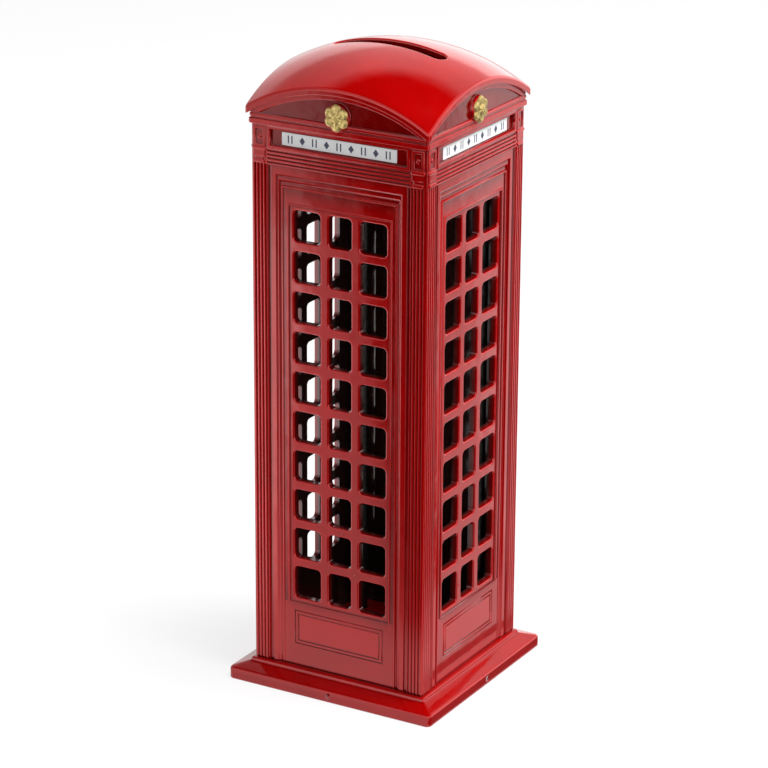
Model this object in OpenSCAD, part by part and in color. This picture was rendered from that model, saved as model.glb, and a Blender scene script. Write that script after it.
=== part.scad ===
// A die-cast money box in the shape of a telephone kiosk.
// Front faces -Y, floor is z = 0, and the vertical axis of the box is x = y = 0.

/* [Overall] */
// Width and depth of the kiosk body between opposite outer faces
body_w = 54; // [48:0.5:66]
// Height from the floor to the crown of the roof
total_h = 181; // [152:1:218]

/* [Plinth] */
// How far the plinth reaches out past the body
plinth_reach = 5.5; // [4:0.5:8]
// Height of the plinth's upright side
plinth_side_h = 3.4; // [3:0.1:4.5]
// Rise of the sloping bevel above the side
plinth_bevel_h = 1.4; // [1:0.1:2]
// Width of the flat ledge around the foot of the body
plinth_ledge_w = 0.9; // [0.5:0.1:1.5]
// Height of the ledge above the bevel
plinth_ledge_h = 1.1; // [0.8:0.1:1.5]
// Radius of the plinth's upright corners
plinth_corner_r = 1.6; // [0.8:0.1:3]
// Depth of the pocket in the underside
plinth_pocket_d = 2.4; // [2:0.1:2.8]
// Width of the rim that is left around the underside pocket
plinth_rim_w = 5; // [4:0.5:7]

/* [Walls] */
// Thickness of a wall from its outer to its inner face
wall_t = 3; // [2.6:0.1:4]
// Depth of the lattice below the outer face
lattice_d = 1; // [0.6:0.1:1.2]
// Radius of the body's upright corners
corner_r = 0.8; // [0.4:0.1:1.2]
// Width of the reeded pilaster at each side of a face
pilaster_w = 5; // [4:0.25:6]
// Number of reeds on a pilaster
reed_count = 4; // [3:1:5]
// Depth of the grooves that part the reeds
reed_groove_d = 0.45; // [0.3:0.05:0.6]
// Width of the groove between pilaster and door frame
frame_gap_w = 1.1; // [0.8:0.1:1.5]
// Depth of that groove
frame_gap_d = 0.7; // [0.4:0.1:0.9]
// Width of the flat outer strip of the door frame
frame_strip_w = 1.7; // [1.4:0.1:2.2]
// Height of that strip over the door
strip_head_h = 2.6; // [1.6:0.1:3.4]
// Width of each of the two steps inside the outer strip
frame_step_w = 0.65; // [0.5:0.05:0.9]
// Height of each of those steps over the door
step_head_h = 1.5; // [1:0.1:2]
// Width of a raised bead on the door frame
bead_w = 0.5; // [0.4:0.05:0.7]
// Width of the flat band between the two beads
band_w = 1.2; // [1:0.1:1.8]
// Height of the flat band between the two beads over the door
head_band_h = 4.1; // [3:0.1:5]

/* [Windows] */
// Rows of window openings
window_rows = 10; // [6:1:12]
// Columns of window openings
window_cols = 3; // [2:1:4]
// Width of the bars between openings
bar_w = 2.6; // [2:0.1:3]
// Distance from the inner bead to the first opening
window_margin = 1.3; // [1:0.1:1.8]
// How much narrower the middle column is
middle_narrower = 1.2; // [0:0.1:2]
// How much taller the lowest row is
low_row_taller = 0.6; // [0:0.1:1.5]
// Radius of an opening's corners
window_r = 1.2; // [0.8:0.1:1.6]

/* [Kick plate] */
// Height of the kick plate from the plinth to the lattice recess
kick_h = 19.1; // [16:0.1:24]
// Width of the margin between door frame and kick panel
kick_side_margin = 3.3; // [2.5:0.1:4]
// Height of the plain strip under the kick panel
kick_foot_h = 6.6; // [5:0.1:8]
// Height of the plain strip over the kick panel
kick_head_h = 2.2; // [1.5:0.1:3]
// Width of the moulding around the kick panel
kick_mould_w = 1.5; // [1.2:0.1:2]
// Width of each of the two grooves of that moulding
kick_groove_w = 0.45; // [0.3:0.05:0.55]
// Depth of those grooves
kick_groove_d = 0.4; // [0.2:0.05:0.5]

/* [Frieze and cornice] */
// Height of the reeded band over the door frame
reed_band_h = 4.2; // [3.6:0.1:5]
// Number of reeds in that band
band_reeds = 4; // [3:1:5]
// Height of the sign box
sign_h = 6.4; // [5.6:0.1:8]
// Depth of the sign recess
sign_d = 0.7; // [0.4:0.1:1]
// Width of the raised border around the sign recess
sign_border = 0.8; // [0.5:0.1:1.2]
// Distance from the label to each side of the sign recess
label_side_margin = 3.4; // [1:0.1:6]
// Distance from the label to the top and foot of the sign recess
label_head_margin = 0.45; // [0.2:0.05:0.9]
// Thickness of the sign label
label_t = 0.2; // [0.1:0.05:0.4]
// Height of the cornice
cornice_h = 2.8; // [2.2:0.1:3.5]
// How far the cornice stands out
cornice_reach = 0.6; // [0.4:0.1:0.9]

/* [Pediment and rosette] */
// Depth of the panel inside the pediment arch
pediment_d = 0.5; // [0.3:0.1:0.8]
// Width of the border between the panel and the roof
pediment_border = 1.7; // [1.3:0.1:2.2]
// Diameter of the round boss that carries the rosette
boss_dia = 7.4; // [6:0.1:8]
// How far the boss stands out of the pediment panel
boss_h = 1; // [0.6:0.1:1.4]
// Diameter across the petals of the rosette
rosette_dia = 7.6; // [6:0.1:8.4]
// Thickness of the rosette
rosette_t = 0.8; // [0.5:0.1:1.2]
// Number of petals
petal_count = 6; // [5:1:8]

/* [Roof] */
// How far the roof reaches out past the body
roof_reach = 1.3; // [1:0.1:1.8]
// Rise of the dome from its corners to its crown
dome_rise = 15.4; // [13:0.2:18.6]
// Thickness of the dome
roof_t = 1.7; // [1.4:0.1:2.2]
// Height of the roof's outer edge at the corners above the cornice
eaves_h = 1.7; // [1.4:0.1:2.4]
// Radius of the roof's corners
roof_corner_r = 1; // [0.5:0.1:1.6]
// Thickness of the locating skirt under the dome
skirt_t = 1.6; // [1.2:0.1:2]
// Length of the coin slot
slot_l = 34; // [30:0.5:38]
// Width of the coin slot
slot_w = 4.8; // [4.4:0.1:6]

/* [Fasteners] */
// Diameter of a tie screw's shank
screw_dia = 3; // [2.5:0.5:4]
// Diameter of a tie screw's head
screw_head_dia = 5.6; // [5:0.1:6.4]
// Height of a tie screw's head
screw_head_h = 1.2; // [1:0.1:1.4]
// Diameter of a washer under a tie screw's head
washer_dia = 6.6; // [6:0.1:7.4]
// Thickness of a washer
washer_t = 0.4; // [0.3:0.05:0.5]
// Diameter of a roof boss that takes a tie screw
roof_boss_dia = 6.6; // [5.5:0.1:7.4]
// How deep a tie screw sits in its roof boss
screw_grip = 8; // [6:0.5:10]

/* [Coin stopper] */
// Diameter of the coin outlet in the plinth
outlet_dia = 30; // [24:0.5:32]
// Width of the stopper's flange past the outlet
flange_reach = 2.4; // [1.8:0.1:3]
// Thickness of the stopper's flange
flange_t = 1.2; // [1:0.1:1.3]
// How far the stopper rises past the plinth's top
stopper_rise = 1.2; // [0.6:0.1:2]
// Width of the pull bar across the stopper's thumb pocket
pull_bar_w = 3.2; // [2.5:0.1:4]

/* [Clearances] */
// Gap at every painted seam between castings
seam_gap = 0.1; // [0.05:0.05:0.2]
// Gap around the stopper
stopper_gap = 0.25; // [0.2:0.05:0.4]
// Gap around a tie screw in a plain hole
screw_gap = 0.25; // [0.15:0.05:0.4]

/* [Hidden] */

$fn = 64;
eps = 0.01;

enamel = "#a81414";
dark_rubber = "#1d1d1f";
steel = "#b9bcc0";
label_white = "#ecebe6";
gold = "#c9a94f";

// Turn about the upright axis for each of the four faces
FRONT = 0;
RIGHT = 90;
BACK = 180;
LEFT = 270;

// Plan sizes, measured out from the upright axis
body_r = body_w / 2;
inner_r = body_r - wall_t;
plinth_r = body_r + plinth_reach;
ledge_r = body_r + plinth_ledge_w;
roof_r = body_r + roof_reach;

// Half-widths of the nested steps of the door frame
pilaster_in = body_r - pilaster_w;
strip_out = pilaster_in - frame_gap_w;
strip_in = strip_out - frame_strip_w;
step_in = strip_in - frame_step_w;
outer_bead_out = step_in - frame_step_w;
outer_bead_in = outer_bead_out - bead_w;
inner_bead_out = outer_bead_in - band_w;
inner_bead_in = inner_bead_out - bead_w;
lattice_r = inner_bead_in - window_margin;

// Depths of those steps below the outer face
strip_d = 0.2 * lattice_d;
first_step_d = 0.55 * lattice_d;
second_step_d = lattice_d;
bead_d = 0.55 * lattice_d;
band_d = 0.8 * lattice_d;
kick_d = 0.65 * lattice_d;

// Share of a reed's pitch that its groove takes
groove_share = 0.6;

// Heights, from the floor up
bevel_top = plinth_side_h + plinth_bevel_h;
plinth_top = bevel_top + plinth_ledge_h;
kick_top = plinth_top + kick_h;
sill_z = kick_top + window_margin;
eaves_top = total_h - dome_rise;
cornice_top = eaves_top - eaves_h;
cornice_z = cornice_top - cornice_h;
sign_z = cornice_z - sign_h;
door_head_z = sign_z - reed_band_h;
strip_head_z = door_head_z - strip_head_h;
step_head_z = strip_head_z - step_head_h;
outer_bead_z = step_head_z - step_head_h;
band_head_z = outer_bead_z - bead_w;
inner_bead_z = band_head_z - head_band_h;
lattice_head_z = inner_bead_z - bead_w;
window_top = lattice_head_z - window_margin;

// Sign border and the recess inside it
sign_half = pilaster_in - 0.2;
sign_low = sign_z + 0.2;
sign_high = cornice_z - 0.1;
sign_proud = 0.25;
recess_half = sign_half - sign_border;
recess_low = sign_low + sign_border;
recess_high = sign_high - sign_border;

// Capitals over the pilasters: their moulding stands out furthest, then the block
capital_w = pilaster_w - 1.4;
capital_x = pilaster_in + 0.5 + capital_w / 2;
capital_low = sign_z + 0.3;
capital_high = cornice_z - 0.6;
capital_proud = 0.2;
capital_border = 0.7;
mould_proud = 0.35;
mould_reach = 0.25;
mould_h = 0.8;
pin_dia = 1;

// Window openings fill the lattice between its margins
window_h = (window_top - sill_z - low_row_taller - (window_rows - 1) * bar_w) / window_rows;
window_w = (2 * lattice_r - (window_cols - 1) * bar_w + middle_narrower) / window_cols;

// Dome: one sphere through the crown and the four corners
roof_diag = roof_r * sqrt(2);
dome_r = (roof_diag * roof_diag + dome_rise * dome_rise) / (2 * dome_rise);
dome_z = total_h - dome_r;
under_r = dome_r - roof_t;
wall_dome_r = under_r - seam_gap;

// Height of the dome's underside over a point that is r away from the axis
function under_z(r) = dome_z + sqrt(under_r * under_r - r * r);

// Pediment arch, a circle struck from the same upright line as the dome
pediment_face = body_r + cornice_reach / 2;
pediment_r = sqrt(wall_dome_r * wall_dome_r - pediment_face * pediment_face) - pediment_border;
pediment_z = cornice_top + 0.3;
boss_z = pediment_z + 2;
pediment_y = pediment_face - pediment_d;

// Tie screws stand in the inner corners
screw_pos = inner_r - skirt_t - roof_boss_dia / 2;
pocket_z = plinth_pocket_d;
counterbore_d = 1.4;
washer_z = pocket_z + counterbore_d - washer_t;
boss_low_z = under_z(screw_pos * sqrt(2)) - screw_grip - 4;
screw_top = boss_low_z + screw_grip;
skirt_low_z = cornice_top - 1;
skirt_r = inner_r - stopper_gap;

// Stopper
flange_top = pocket_z - stopper_gap;
neck_dia = outlet_dia - 2 * stopper_gap;
thumb_dia = neck_dia - 8;
thumb_d = 3;

// A square prism about the upright axis with round corners
module round_square(half, r, h) {
    linear_extrude(height = h)
        union() {
            square([2 * half, 2 * (half - r)], center = true);
            square([2 * (half - r), 2 * half], center = true);
            for (x = [-1, 1], y = [-1, 1])
                translate([x * (half - r), y * (half - r)]) circle(r = r);
        }
}

// A block on the front face, centred on x, from z0 to z1, between two distances from the axis
module face_block(half, z0, z1, y_in, y_out) {
    translate([-half, -y_out, z0]) cube([2 * half, y_out - y_in, z1 - z0]);
}

// A pocket cut into the front face
module face_pocket(half, z0, z1, d) {
    face_block(half, z0, z1, body_r - d, body_r + 2);
}

// Plan of one wall: a slab with mitred ends
module mitred_plan(out_r) {
    g = seam_gap / 2;
    polygon([
        [-out_r + g, -out_r],
        [out_r - g, -out_r],
        [inner_r - g, -inner_r],
        [-inner_r + g, -inner_r]
    ]);
}

// Plain wall blank: body slab and cornice, under the dome, with round upright corners
module wall_blank() {
    intersection() {
        union() {
            translate([0, 0, dome_z]) sphere(r = wall_dome_r, $fn = 128);
            translate([-plinth_r, -plinth_r, 0]) cube([2 * plinth_r, 2 * plinth_r, dome_z]);
        }
        union() {
            intersection() {
                translate([0, 0, plinth_top])
                    linear_extrude(height = total_h) mitred_plan(body_r);
                round_square(body_r, corner_r, total_h);
            }
            translate([0, 0, cornice_z])
                linear_extrude(height = cornice_h * 0.6) mitred_plan(body_r + cornice_reach);
            translate([0, 0, cornice_z + cornice_h * 0.6 - eps])
                linear_extrude(height = total_h) mitred_plan(pediment_face);
        }
    }
}

// V-shaped groove along +Z, open towards -Y, centred on the origin
module v_groove(w, d, l) {
    linear_extrude(height = l) polygon([[-w / 2, -eps], [w / 2, -eps], [0, d]]);
}

// Grooves that leave the reeds standing on one pilaster
module pilaster_grooves() {
    reed_pitch = (pilaster_w - corner_r) / reed_count;
    for (side = [-1, 1], i = [0 : reed_count - 1])
        translate([side * (pilaster_in + (i + 0.5) * reed_pitch), -body_r, plinth_top - 1])
            v_groove(groove_share * reed_pitch, reed_groove_d, door_head_z - plinth_top + 1);
}

// Grooves of the reeded band over the door
module band_grooves() {
    reed_pitch = reed_band_h / band_reeds;
    for (i = [0 : band_reeds - 1])
        translate([-pilaster_in, -body_r, door_head_z + (i + 0.5) * reed_pitch])
            rotate([0, 90, 0]) v_groove(groove_share * reed_pitch, reed_groove_d, 2 * pilaster_in);
}

// Stepped door frame: groove, strip, two steps, outer bead, band, inner bead
module door_frame_cuts() {
    face_pocket(pilaster_in, plinth_top - 1, door_head_z, strip_d);
    difference() {
        face_pocket(pilaster_in, plinth_top - 1, door_head_z - eps, frame_gap_d);
        face_block(strip_out, plinth_top - 2, door_head_z + 1, inner_r, body_r + 3);
    }
    face_pocket(strip_in, plinth_top - 1, strip_head_z, first_step_d);
    difference() {
        face_pocket(step_in, plinth_top - 1, step_head_z, second_step_d);
        face_block(outer_bead_out, plinth_top - 2, outer_bead_z, inner_r, body_r + 3);
    }
    face_pocket(outer_bead_out, kick_top, outer_bead_z, bead_d);
    face_pocket(outer_bead_in, kick_top, band_head_z, band_d);
    face_pocket(inner_bead_in, kick_top, lattice_head_z, lattice_d);
    face_pocket(outer_bead_out, plinth_top - 1, kick_top + eps, kick_d);
}

// The inner bead stands on the band
module inner_bead() {
    difference() {
        face_block(inner_bead_out, kick_top, inner_bead_z, inner_r, body_r - bead_d);
        face_block(inner_bead_in, kick_top - 1, lattice_head_z, inner_r - 1, body_r + 1);
    }
}

// Moulding around the kick panel: two thin grooves with a bead between them
module kick_panel_cuts() {
    half = outer_bead_out - kick_side_margin;
    low = plinth_top + kick_foot_h;
    high = kick_top - kick_head_h;
    for (inset = [0, kick_mould_w - kick_groove_w])
        difference() {
            face_pocket(half - inset, low + inset, high - inset, kick_d + kick_groove_d);
            face_block(half - inset - kick_groove_w, low + inset + kick_groove_w,
                high - inset - kick_groove_w, inner_r, body_r + 3);
        }
}

// Height of the lower edge of a window row, counted from the lowest
function row_z(i) = sill_z + (i > 0 ? low_row_taller : 0) + i * (window_h + bar_w);

// Left edge of a window column, counted from the left
function col_x(i) = -lattice_r + i * (window_w + bar_w) - (i > (window_cols - 1) / 2 ? middle_narrower : 0);

// One opening through the lattice, with round corners
module window_cut(w, h) {
    r = min(window_r, w / 2 - 0.1, h / 2 - 0.1);
    translate([0, -inner_r + 1, 0])
        rotate([90, 0, 0])
            linear_extrude(height = wall_t + 3)
                union() {
                    translate([r, 0]) square([w - 2 * r, h]);
                    translate([0, r]) square([w, h - 2 * r]);
                    for (x = [r, w - r], z = [r, h - r])
                        translate([x, z]) circle(r = r);
                }
}

module window_cuts() {
    for (i = [0 : window_rows - 1], j = [0 : window_cols - 1]) {
        is_middle = j == (window_cols - 1) / 2;
        translate([col_x(j), 0, row_z(i)])
            window_cut(window_w - (is_middle ? middle_narrower : 0),
                window_h + (i == 0 ? low_row_taller : 0));
    }
}

// Sign box: a raised border and a recess for the label
module sign_border_block() {
    face_block(sign_half, sign_low, sign_high, inner_r, body_r + sign_proud);
}

module sign_recess() {
    face_pocket(recess_half, recess_low, recess_high, sign_d);
}

// Capital over each pilaster: a block with a sunk square and a pin, on a stepped bracket
module capitals() {
    mould_low = capital_low - mould_h;
    bracket_mid = mould_low - 0.45 * reed_band_h;
    for (side = [-1, 1])
        translate([side * capital_x, 0, 0]) {
            difference() {
                face_block(capital_w / 2, capital_low, capital_high, inner_r, body_r + capital_proud);
                face_pocket(capital_w / 2 - capital_border, capital_low + capital_border,
                    capital_high - capital_border, capital_proud);
            }
            translate([0, -body_r + 0.25, (capital_low + capital_high) / 2])
                rotate([90, 0, 0]) cylinder(r = pin_dia / 2, h = mould_proud);
            face_block(capital_w / 2 + mould_reach, mould_low, capital_low, inner_r, body_r + mould_proud);
            face_block(capital_w / 2, bracket_mid, mould_low, inner_r, body_r + capital_proud);
            face_block(capital_w / 2 - 0.5, door_head_z + 0.3, mould_low, inner_r, body_r + capital_proud / 2);
        }
}

// Pediment: a sunk panel under the arch and the boss for the rosette
module pediment_cut() {
    intersection() {
        translate([0, -pediment_y, dome_z])
            rotate([90, 0, 0]) cylinder(r = pediment_r, h = 5, $fn = 180);
        face_block(body_r, pediment_z, total_h, pediment_y, body_r + 6);
    }
}

module rosette_boss() {
    translate([0, -pediment_y + 0.5, boss_z])
        rotate([90, 0, 0]) cylinder(r = boss_dia / 2, h = boss_h + 0.5);
}

// One complete wall, modelled at the front
module wall(has_windows) {
    difference() {
        union() {
            difference() {
                wall_blank();
                pilaster_grooves();
                band_grooves();
                door_frame_cuts();
                pediment_cut();
            }
            intersection() {
                union() {
                    inner_bead();
                    sign_border_block();
                    capitals();
                }
                linear_extrude(height = total_h) mitred_plan(body_r + cornice_reach);
            }
            rosette_boss();
        }
        kick_panel_cuts();
        sign_recess();
        if (has_windows) window_cuts();
    }
}

module front_wall() { color(enamel) rotate([0, 0, FRONT]) wall(true); }
module right_wall() { color(enamel) rotate([0, 0, RIGHT]) wall(true); }
module back_wall() { color(enamel) rotate([0, 0, BACK]) wall(false); }
module left_wall() { color(enamel) rotate([0, 0, LEFT]) wall(true); }

// Four copies of what stands in the inner corners
module at_corners() {
    for (x = [-1, 1], y = [-1, 1])
        translate([x * screw_pos, y * screw_pos, 0]) children();
}

// Plinth: upright side, sloping bevel, ledge, and a pocket underneath
module bevel_profile() {
    polygon([
        [-plinth_r, 0],
        [plinth_r, 0],
        [plinth_r, plinth_side_h],
        [ledge_r, bevel_top],
        [ledge_r, plinth_top - seam_gap],
        [-ledge_r, plinth_top - seam_gap],
        [-ledge_r, bevel_top],
        [-plinth_r, plinth_side_h]
    ]);
}

module plinth() {
    color(enamel)
        difference() {
            intersection() {
                translate([0, plinth_r + 1, 0])
                    rotate([90, 0, 0]) linear_extrude(height = 2 * plinth_r + 2) bevel_profile();
                translate([-plinth_r - 1, 0, 0])
                    rotate([90, 0, 90]) linear_extrude(height = 2 * plinth_r + 2) bevel_profile();
                round_square(plinth_r, plinth_corner_r, total_h);
            }
            translate([0, 0, -1])
                round_square(plinth_r - plinth_rim_w, plinth_corner_r, pocket_z + 1);
            cylinder(r = outlet_dia / 2, h = 3 * plinth_top, center = true);
            at_corners() {
                cylinder(r = screw_dia / 2 + screw_gap, h = 3 * plinth_top, center = true);
                translate([0, 0, -1])
                    cylinder(r = washer_dia / 2 + screw_gap, h = pocket_z + counterbore_d + 1);
            }
        }
}

// Long screws that clamp plinth, walls and roof together
module tie_screws() {
    color(steel)
        at_corners() {
            translate([0, 0, washer_z])
                cylinder(r = screw_dia / 2, h = screw_top - washer_z);
            difference() {
                translate([0, 0, washer_z - screw_head_h])
                    cylinder(r = screw_head_dia / 2, h = screw_head_h);
                translate([-screw_head_dia, -0.4, washer_z - screw_head_h - 1])
                    cube([2 * screw_head_dia, 0.8, 1.6]);
            }
        }
}

module screw_washers() {
    color(steel)
        at_corners()
            translate([0, 0, washer_z])
                difference() {
                    cylinder(r = washer_dia / 2, h = washer_t);
                    translate([0, 0, -1]) cylinder(r = screw_dia / 2 + screw_gap / 2, h = washer_t + 2);
                }
}

// Roof: a domed shell with a locating skirt, four screw bosses and the coin slot
module coin_slot() {
    end = slot_l / 2 - slot_w / 2;
    linear_extrude(height = total_h + 10)
        union() {
            square([2 * end, slot_w], center = true);
            for (x = [-end, end]) translate([x, 0]) circle(r = slot_w / 2);
        }
}

module roof_inside() {
    intersection() {
        translate([0, 0, dome_z]) sphere(r = dome_r - roof_t / 2, $fn = 128);
        union() {
            difference() {
                translate([0, 0, skirt_low_z]) round_square(skirt_r, 1, total_h);
                translate([0, 0, skirt_low_z - 1]) round_square(skirt_r - skirt_t, 1, total_h);
            }
            at_corners()
                translate([0, 0, boss_low_z]) cylinder(r = roof_boss_dia / 2, h = total_h);
        }
    }
}

module roof() {
    color(enamel)
        difference() {
            union() {
                intersection() {
                    difference() {
                        translate([0, 0, dome_z]) sphere(r = dome_r, $fn = 128);
                        translate([0, 0, dome_z]) sphere(r = under_r, $fn = 128);
                    }
                    translate([0, 0, dome_z + 1]) round_square(roof_r, roof_corner_r, total_h);
                }
                roof_inside();
            }
            coin_slot();
            at_corners()
                translate([0, 0, boss_low_z - 1])
                    cylinder(r = screw_dia / 2, h = screw_grip + 2);
        }
}

// Soft plug that closes the coin outlet
module coin_stopper() {
    color(dark_rubber)
        difference() {
            union() {
                translate([0, 0, flange_top - flange_t])
                    cylinder(r = outlet_dia / 2 + flange_reach, h = flange_t);
                translate([0, 0, flange_top - eps])
                    cylinder(r = neck_dia / 2, h = plinth_top + stopper_rise - flange_top + eps);
            }
            difference() {
                translate([0, 0, flange_top - flange_t - 1])
                    cylinder(r = thumb_dia / 2, h = thumb_d + 1);
                translate([-thumb_dia, -pull_bar_w / 2, flange_top - flange_t])
                    cube([2 * thumb_dia, pull_bar_w, thumb_d]);
            }
        }
}

// Sign label in the bottom of the sign recess
module label() {
    w = 2 * (recess_half - label_side_margin);
    h = recess_high - recess_low - 2 * label_head_margin;
    color(label_white)
        translate([-w / 2, -body_r + sign_d - label_t, recess_low + label_head_margin])
            cube([w, label_t, h]);
}

module front_label() { rotate([0, 0, FRONT]) label(); }
module right_label() { rotate([0, 0, RIGHT]) label(); }
module back_label() { rotate([0, 0, BACK]) label(); }
module left_label() { rotate([0, 0, LEFT]) label(); }

// Gilt rosette: round petals about a raised eye
module rosette() {
    petal_r = rosette_dia / 2 * 0.42;
    color(gold)
        translate([0, -pediment_y - boss_h, boss_z])
            rotate([90, 0, 0]) {
                linear_extrude(height = rosette_t)
                    union() {
                        circle(r = rosette_dia * 0.3);
                        for (i = [0 : petal_count - 1])
                            rotate(i * 360 / petal_count + 90)
                                translate([rosette_dia / 2 - petal_r, 0]) circle(r = petal_r);
                    }
                cylinder(r = rosette_dia * 0.15, h = rosette_t + 0.3);
            }
}

module front_rosette() { rotate([0, 0, FRONT]) rosette(); }
module right_rosette() { rotate([0, 0, RIGHT]) rosette(); }
module back_rosette() { rotate([0, 0, BACK]) rosette(); }
module left_rosette() { rotate([0, 0, LEFT]) rosette(); }

plinth();
front_wall();
right_wall();
back_wall();
left_wall();
roof();
coin_stopper();
tie_screws();
screw_washers();
front_label();
right_label();
back_label();
left_label();
front_rosette();
right_rosette();
back_rosette();
left_rosette();
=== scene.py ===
"""A die-cast money box in the shape of a telephone kiosk, enamelled red.

Front faces -Y, the floor is z = 0, and the upright axis of the box is x = y = 0.
"""
import math

import bpy
import numpy as np
from bpy.props import FloatProperty, FloatVectorProperty, IntProperty, PointerProperty
from mathutils import Matrix, Vector
from mathutils.geometry import delaunay_2d_cdt


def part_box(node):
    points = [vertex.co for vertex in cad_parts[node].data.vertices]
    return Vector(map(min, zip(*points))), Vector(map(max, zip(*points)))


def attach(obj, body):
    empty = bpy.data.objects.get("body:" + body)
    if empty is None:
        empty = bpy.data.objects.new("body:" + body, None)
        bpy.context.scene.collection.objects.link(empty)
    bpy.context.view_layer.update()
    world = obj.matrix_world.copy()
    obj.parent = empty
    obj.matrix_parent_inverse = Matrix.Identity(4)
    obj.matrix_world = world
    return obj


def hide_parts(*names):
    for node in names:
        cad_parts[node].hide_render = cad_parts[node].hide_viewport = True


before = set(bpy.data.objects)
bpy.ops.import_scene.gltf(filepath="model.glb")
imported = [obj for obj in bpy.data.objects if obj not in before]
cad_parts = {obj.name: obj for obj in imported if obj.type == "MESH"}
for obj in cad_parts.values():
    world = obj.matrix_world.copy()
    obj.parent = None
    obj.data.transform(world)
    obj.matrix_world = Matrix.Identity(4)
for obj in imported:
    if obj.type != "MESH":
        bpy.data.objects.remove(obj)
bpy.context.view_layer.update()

bl_info = {
    "name": "Kiosk money box",
    "version": (1, 0, 0),
    "blender": (4, 5, 0),
    "location": "3D View > Sidebar > Money box",
    "description": "Builds the castings, trim and studio of an enamelled kiosk money box",
    "category": "Object",
}

MM = 0.001

# Turn of each wall about the upright axis, in quarter turns
WALLS = {"front": 0, "right": 1, "back": 2, "left": 3}


def mm_box(node):
    """Lowest and highest corner of a CAD node in millimetres."""
    lo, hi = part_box(node)
    return np.array(lo) / MM, np.array(hi) / MM


# ---------------------------------------------------------------- places in millimetres

# Heights, from the floor up
SEAM = 0.1
POCKET_Z = 2.4
COUNTERBORE_Z = 3.8
PLINTH_TOP = round(float(mm_box("plinth")[1][2]), 3)
FOOT = PLINTH_TOP + SEAM
PAST_FOOT = FOOT - 2  # where patches that run out at the foot begin
KICK_TOP = 25.0
SILL = 26.3
WINDOWS_TOP = 138.5
LATTICE_TOP = 140.3
BEAD_TOP = 144.9
STEP_TOP = 146.2
STRIP_TOP = 147.8
GAP_TOP = 150.1
DOOR_HEAD = 150.5
SIGN_LOW = 154.9
PIN_Z = 157.75
SIGN_TOP = 161.0
CORNICE_LOW = 161.1
CORNICE_TOP = 163.9
PANEL_LOW = 164.2
BOSS_Z = 166.2
PEDIMENT_Z = 170.0  # any height between the cornice and the dome
CROWN = 181.0
DOME_RISE = 15.4

# Half-widths, out from the middle of a wall
FIELD_HALF = 14.2
WINDOWS_HALF = 14.4
LATTICE_HALF = 16.2
KICK_HALF = 17.4
BEAD_HALF = 17.9
STEP_HALF = 18.5
STRIP_HALF = 19.25
SIGN_HALF = 21.8
DOOR_HALF = 22.0
GAP_MID, GAP_HALF = 21.45, 0.52
PILASTER_MID = 24.3

# Windows: bars between them, how much narrower the middle column and taller the lowest row is
ROWS = 10
BAR_W = 2.6
MIDDLE_NARROWER = 1.2
LOW_ROW_TALLER = 0.6

# Field of the kick panel: its lines as inset and share of the lattice's depth
FIELD_LOW, FIELD_TOP = 12.5, 22.8
KICK_LINES = ((0.0, 1.05), (0.42, 0.6), (1.03, 1.0), (1.45, 0.65))
LINE_SOFT = 0.2

# Sign box: how proud its border is, how wide, and how deep its recess is
SIGN_PROUD, SIGN_BORDER, SIGN_DEPTH = 0.25, 0.8, 0.7

# Capital over a pilaster: half-width, low, high, depth, softness (None: as everywhere)
CAPITAL = (
    (1.8, 155.0, 160.5, -0.2, None),  # block
    (1.12, 155.7, 159.8, 0.08, 0.2),  # panel sunk in the block
    (1.8, 152.3, 154.3, -0.2, None),  # neck
    (1.3, 150.8, 152.4, -0.1, None),  # stem
    (1.55, 150.6, 151.5, -0.32, 0.34),  # ring at the foot of the stem
    (2.05, 154.2, 155.05, -0.36, 0.3),  # moulding under the block
)

# Cornice mouldings: share of its reach, height, softness
CORNICE = ((1.0, CORNICE_LOW, 0.5), (-0.55, 162.65, 0.4), (0.3, 163.15, 0.3), (-0.25, CORNICE_TOP, 0.35))

# Soft steps of the relief: place and softness
FOOT_STEP, FOOT_CUT = (6.3, 0.3), 0.4
REED_IN = (21.95, 0.1)
REED_HEAD = (DOOR_HEAD - 0.15, 0.3)
BAND_END = (21.9, 0.25)

# Reeds beside and over the door: their number, pitch, a groove's half-width, and how far each groove's
# middle lies from the door's edge
REED_COUNT, REED_PITCH, REED_HALF = 4, 1.05, 0.32
REED_EDGES = [REED_PITCH * (i + 0.5) for i in range(REED_COUNT)]

# Pediment: face, border, depth and softness of its panel; boss and pins
PEDIMENT_FACE, PEDIMENT_BORDER, PEDIMENT_DEPTH = 27.3, 1.7, 0.5
ARCH_SOFT, PANEL_SOFT = 0.4, 0.3
BOSS_FACE, BOSS_R, BOSS_SOFT = 27.8, 3.7, 0.7
PIN_R, PIN_SOFT, PIN_PROUD = 0.5, 0.4, 0.2

# Small casting faults of each wall: across, up, radius, height
BLEMISHES = {
    "front": [
        (-17.0, 36.4, 0.5, 0.16), (5.0, 36.9, 0.45, 0.2), (1.0, 48.3, 0.4, 0.16), (14.9, 29.5, 0.4, 0.12),
    ],
    "right": [(-5.2, 31.0, 0.45, 0.15), (12.0, 84.0, 0.35, 0.12)],
    "back": [(-8.0, 52.0, 0.5, 0.15), (9.5, 120.0, 0.4, 0.12)],
    "left": [(6.0, 60.0, 0.45, 0.15), (-10.0, 24.0, 0.4, 0.12)],
}

# Roof: corner radius, eased inner edge, skirt and screw bosses
ROOF_CORNER, ROOF_EASE = 1.0, 0.3
SKIRT_OUT, SKIRT_IN, SKIRT_LOW = 23.75, 22.15, 162.9
ROOF_BOSS_R, ROOF_BOSS_LOW = 3.3, 160.63
SCREW_R, SCREW_DEPTH = 1.5, 9
INTO_DOME = 0.6  # how far skirt and bosses run into the dome

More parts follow.
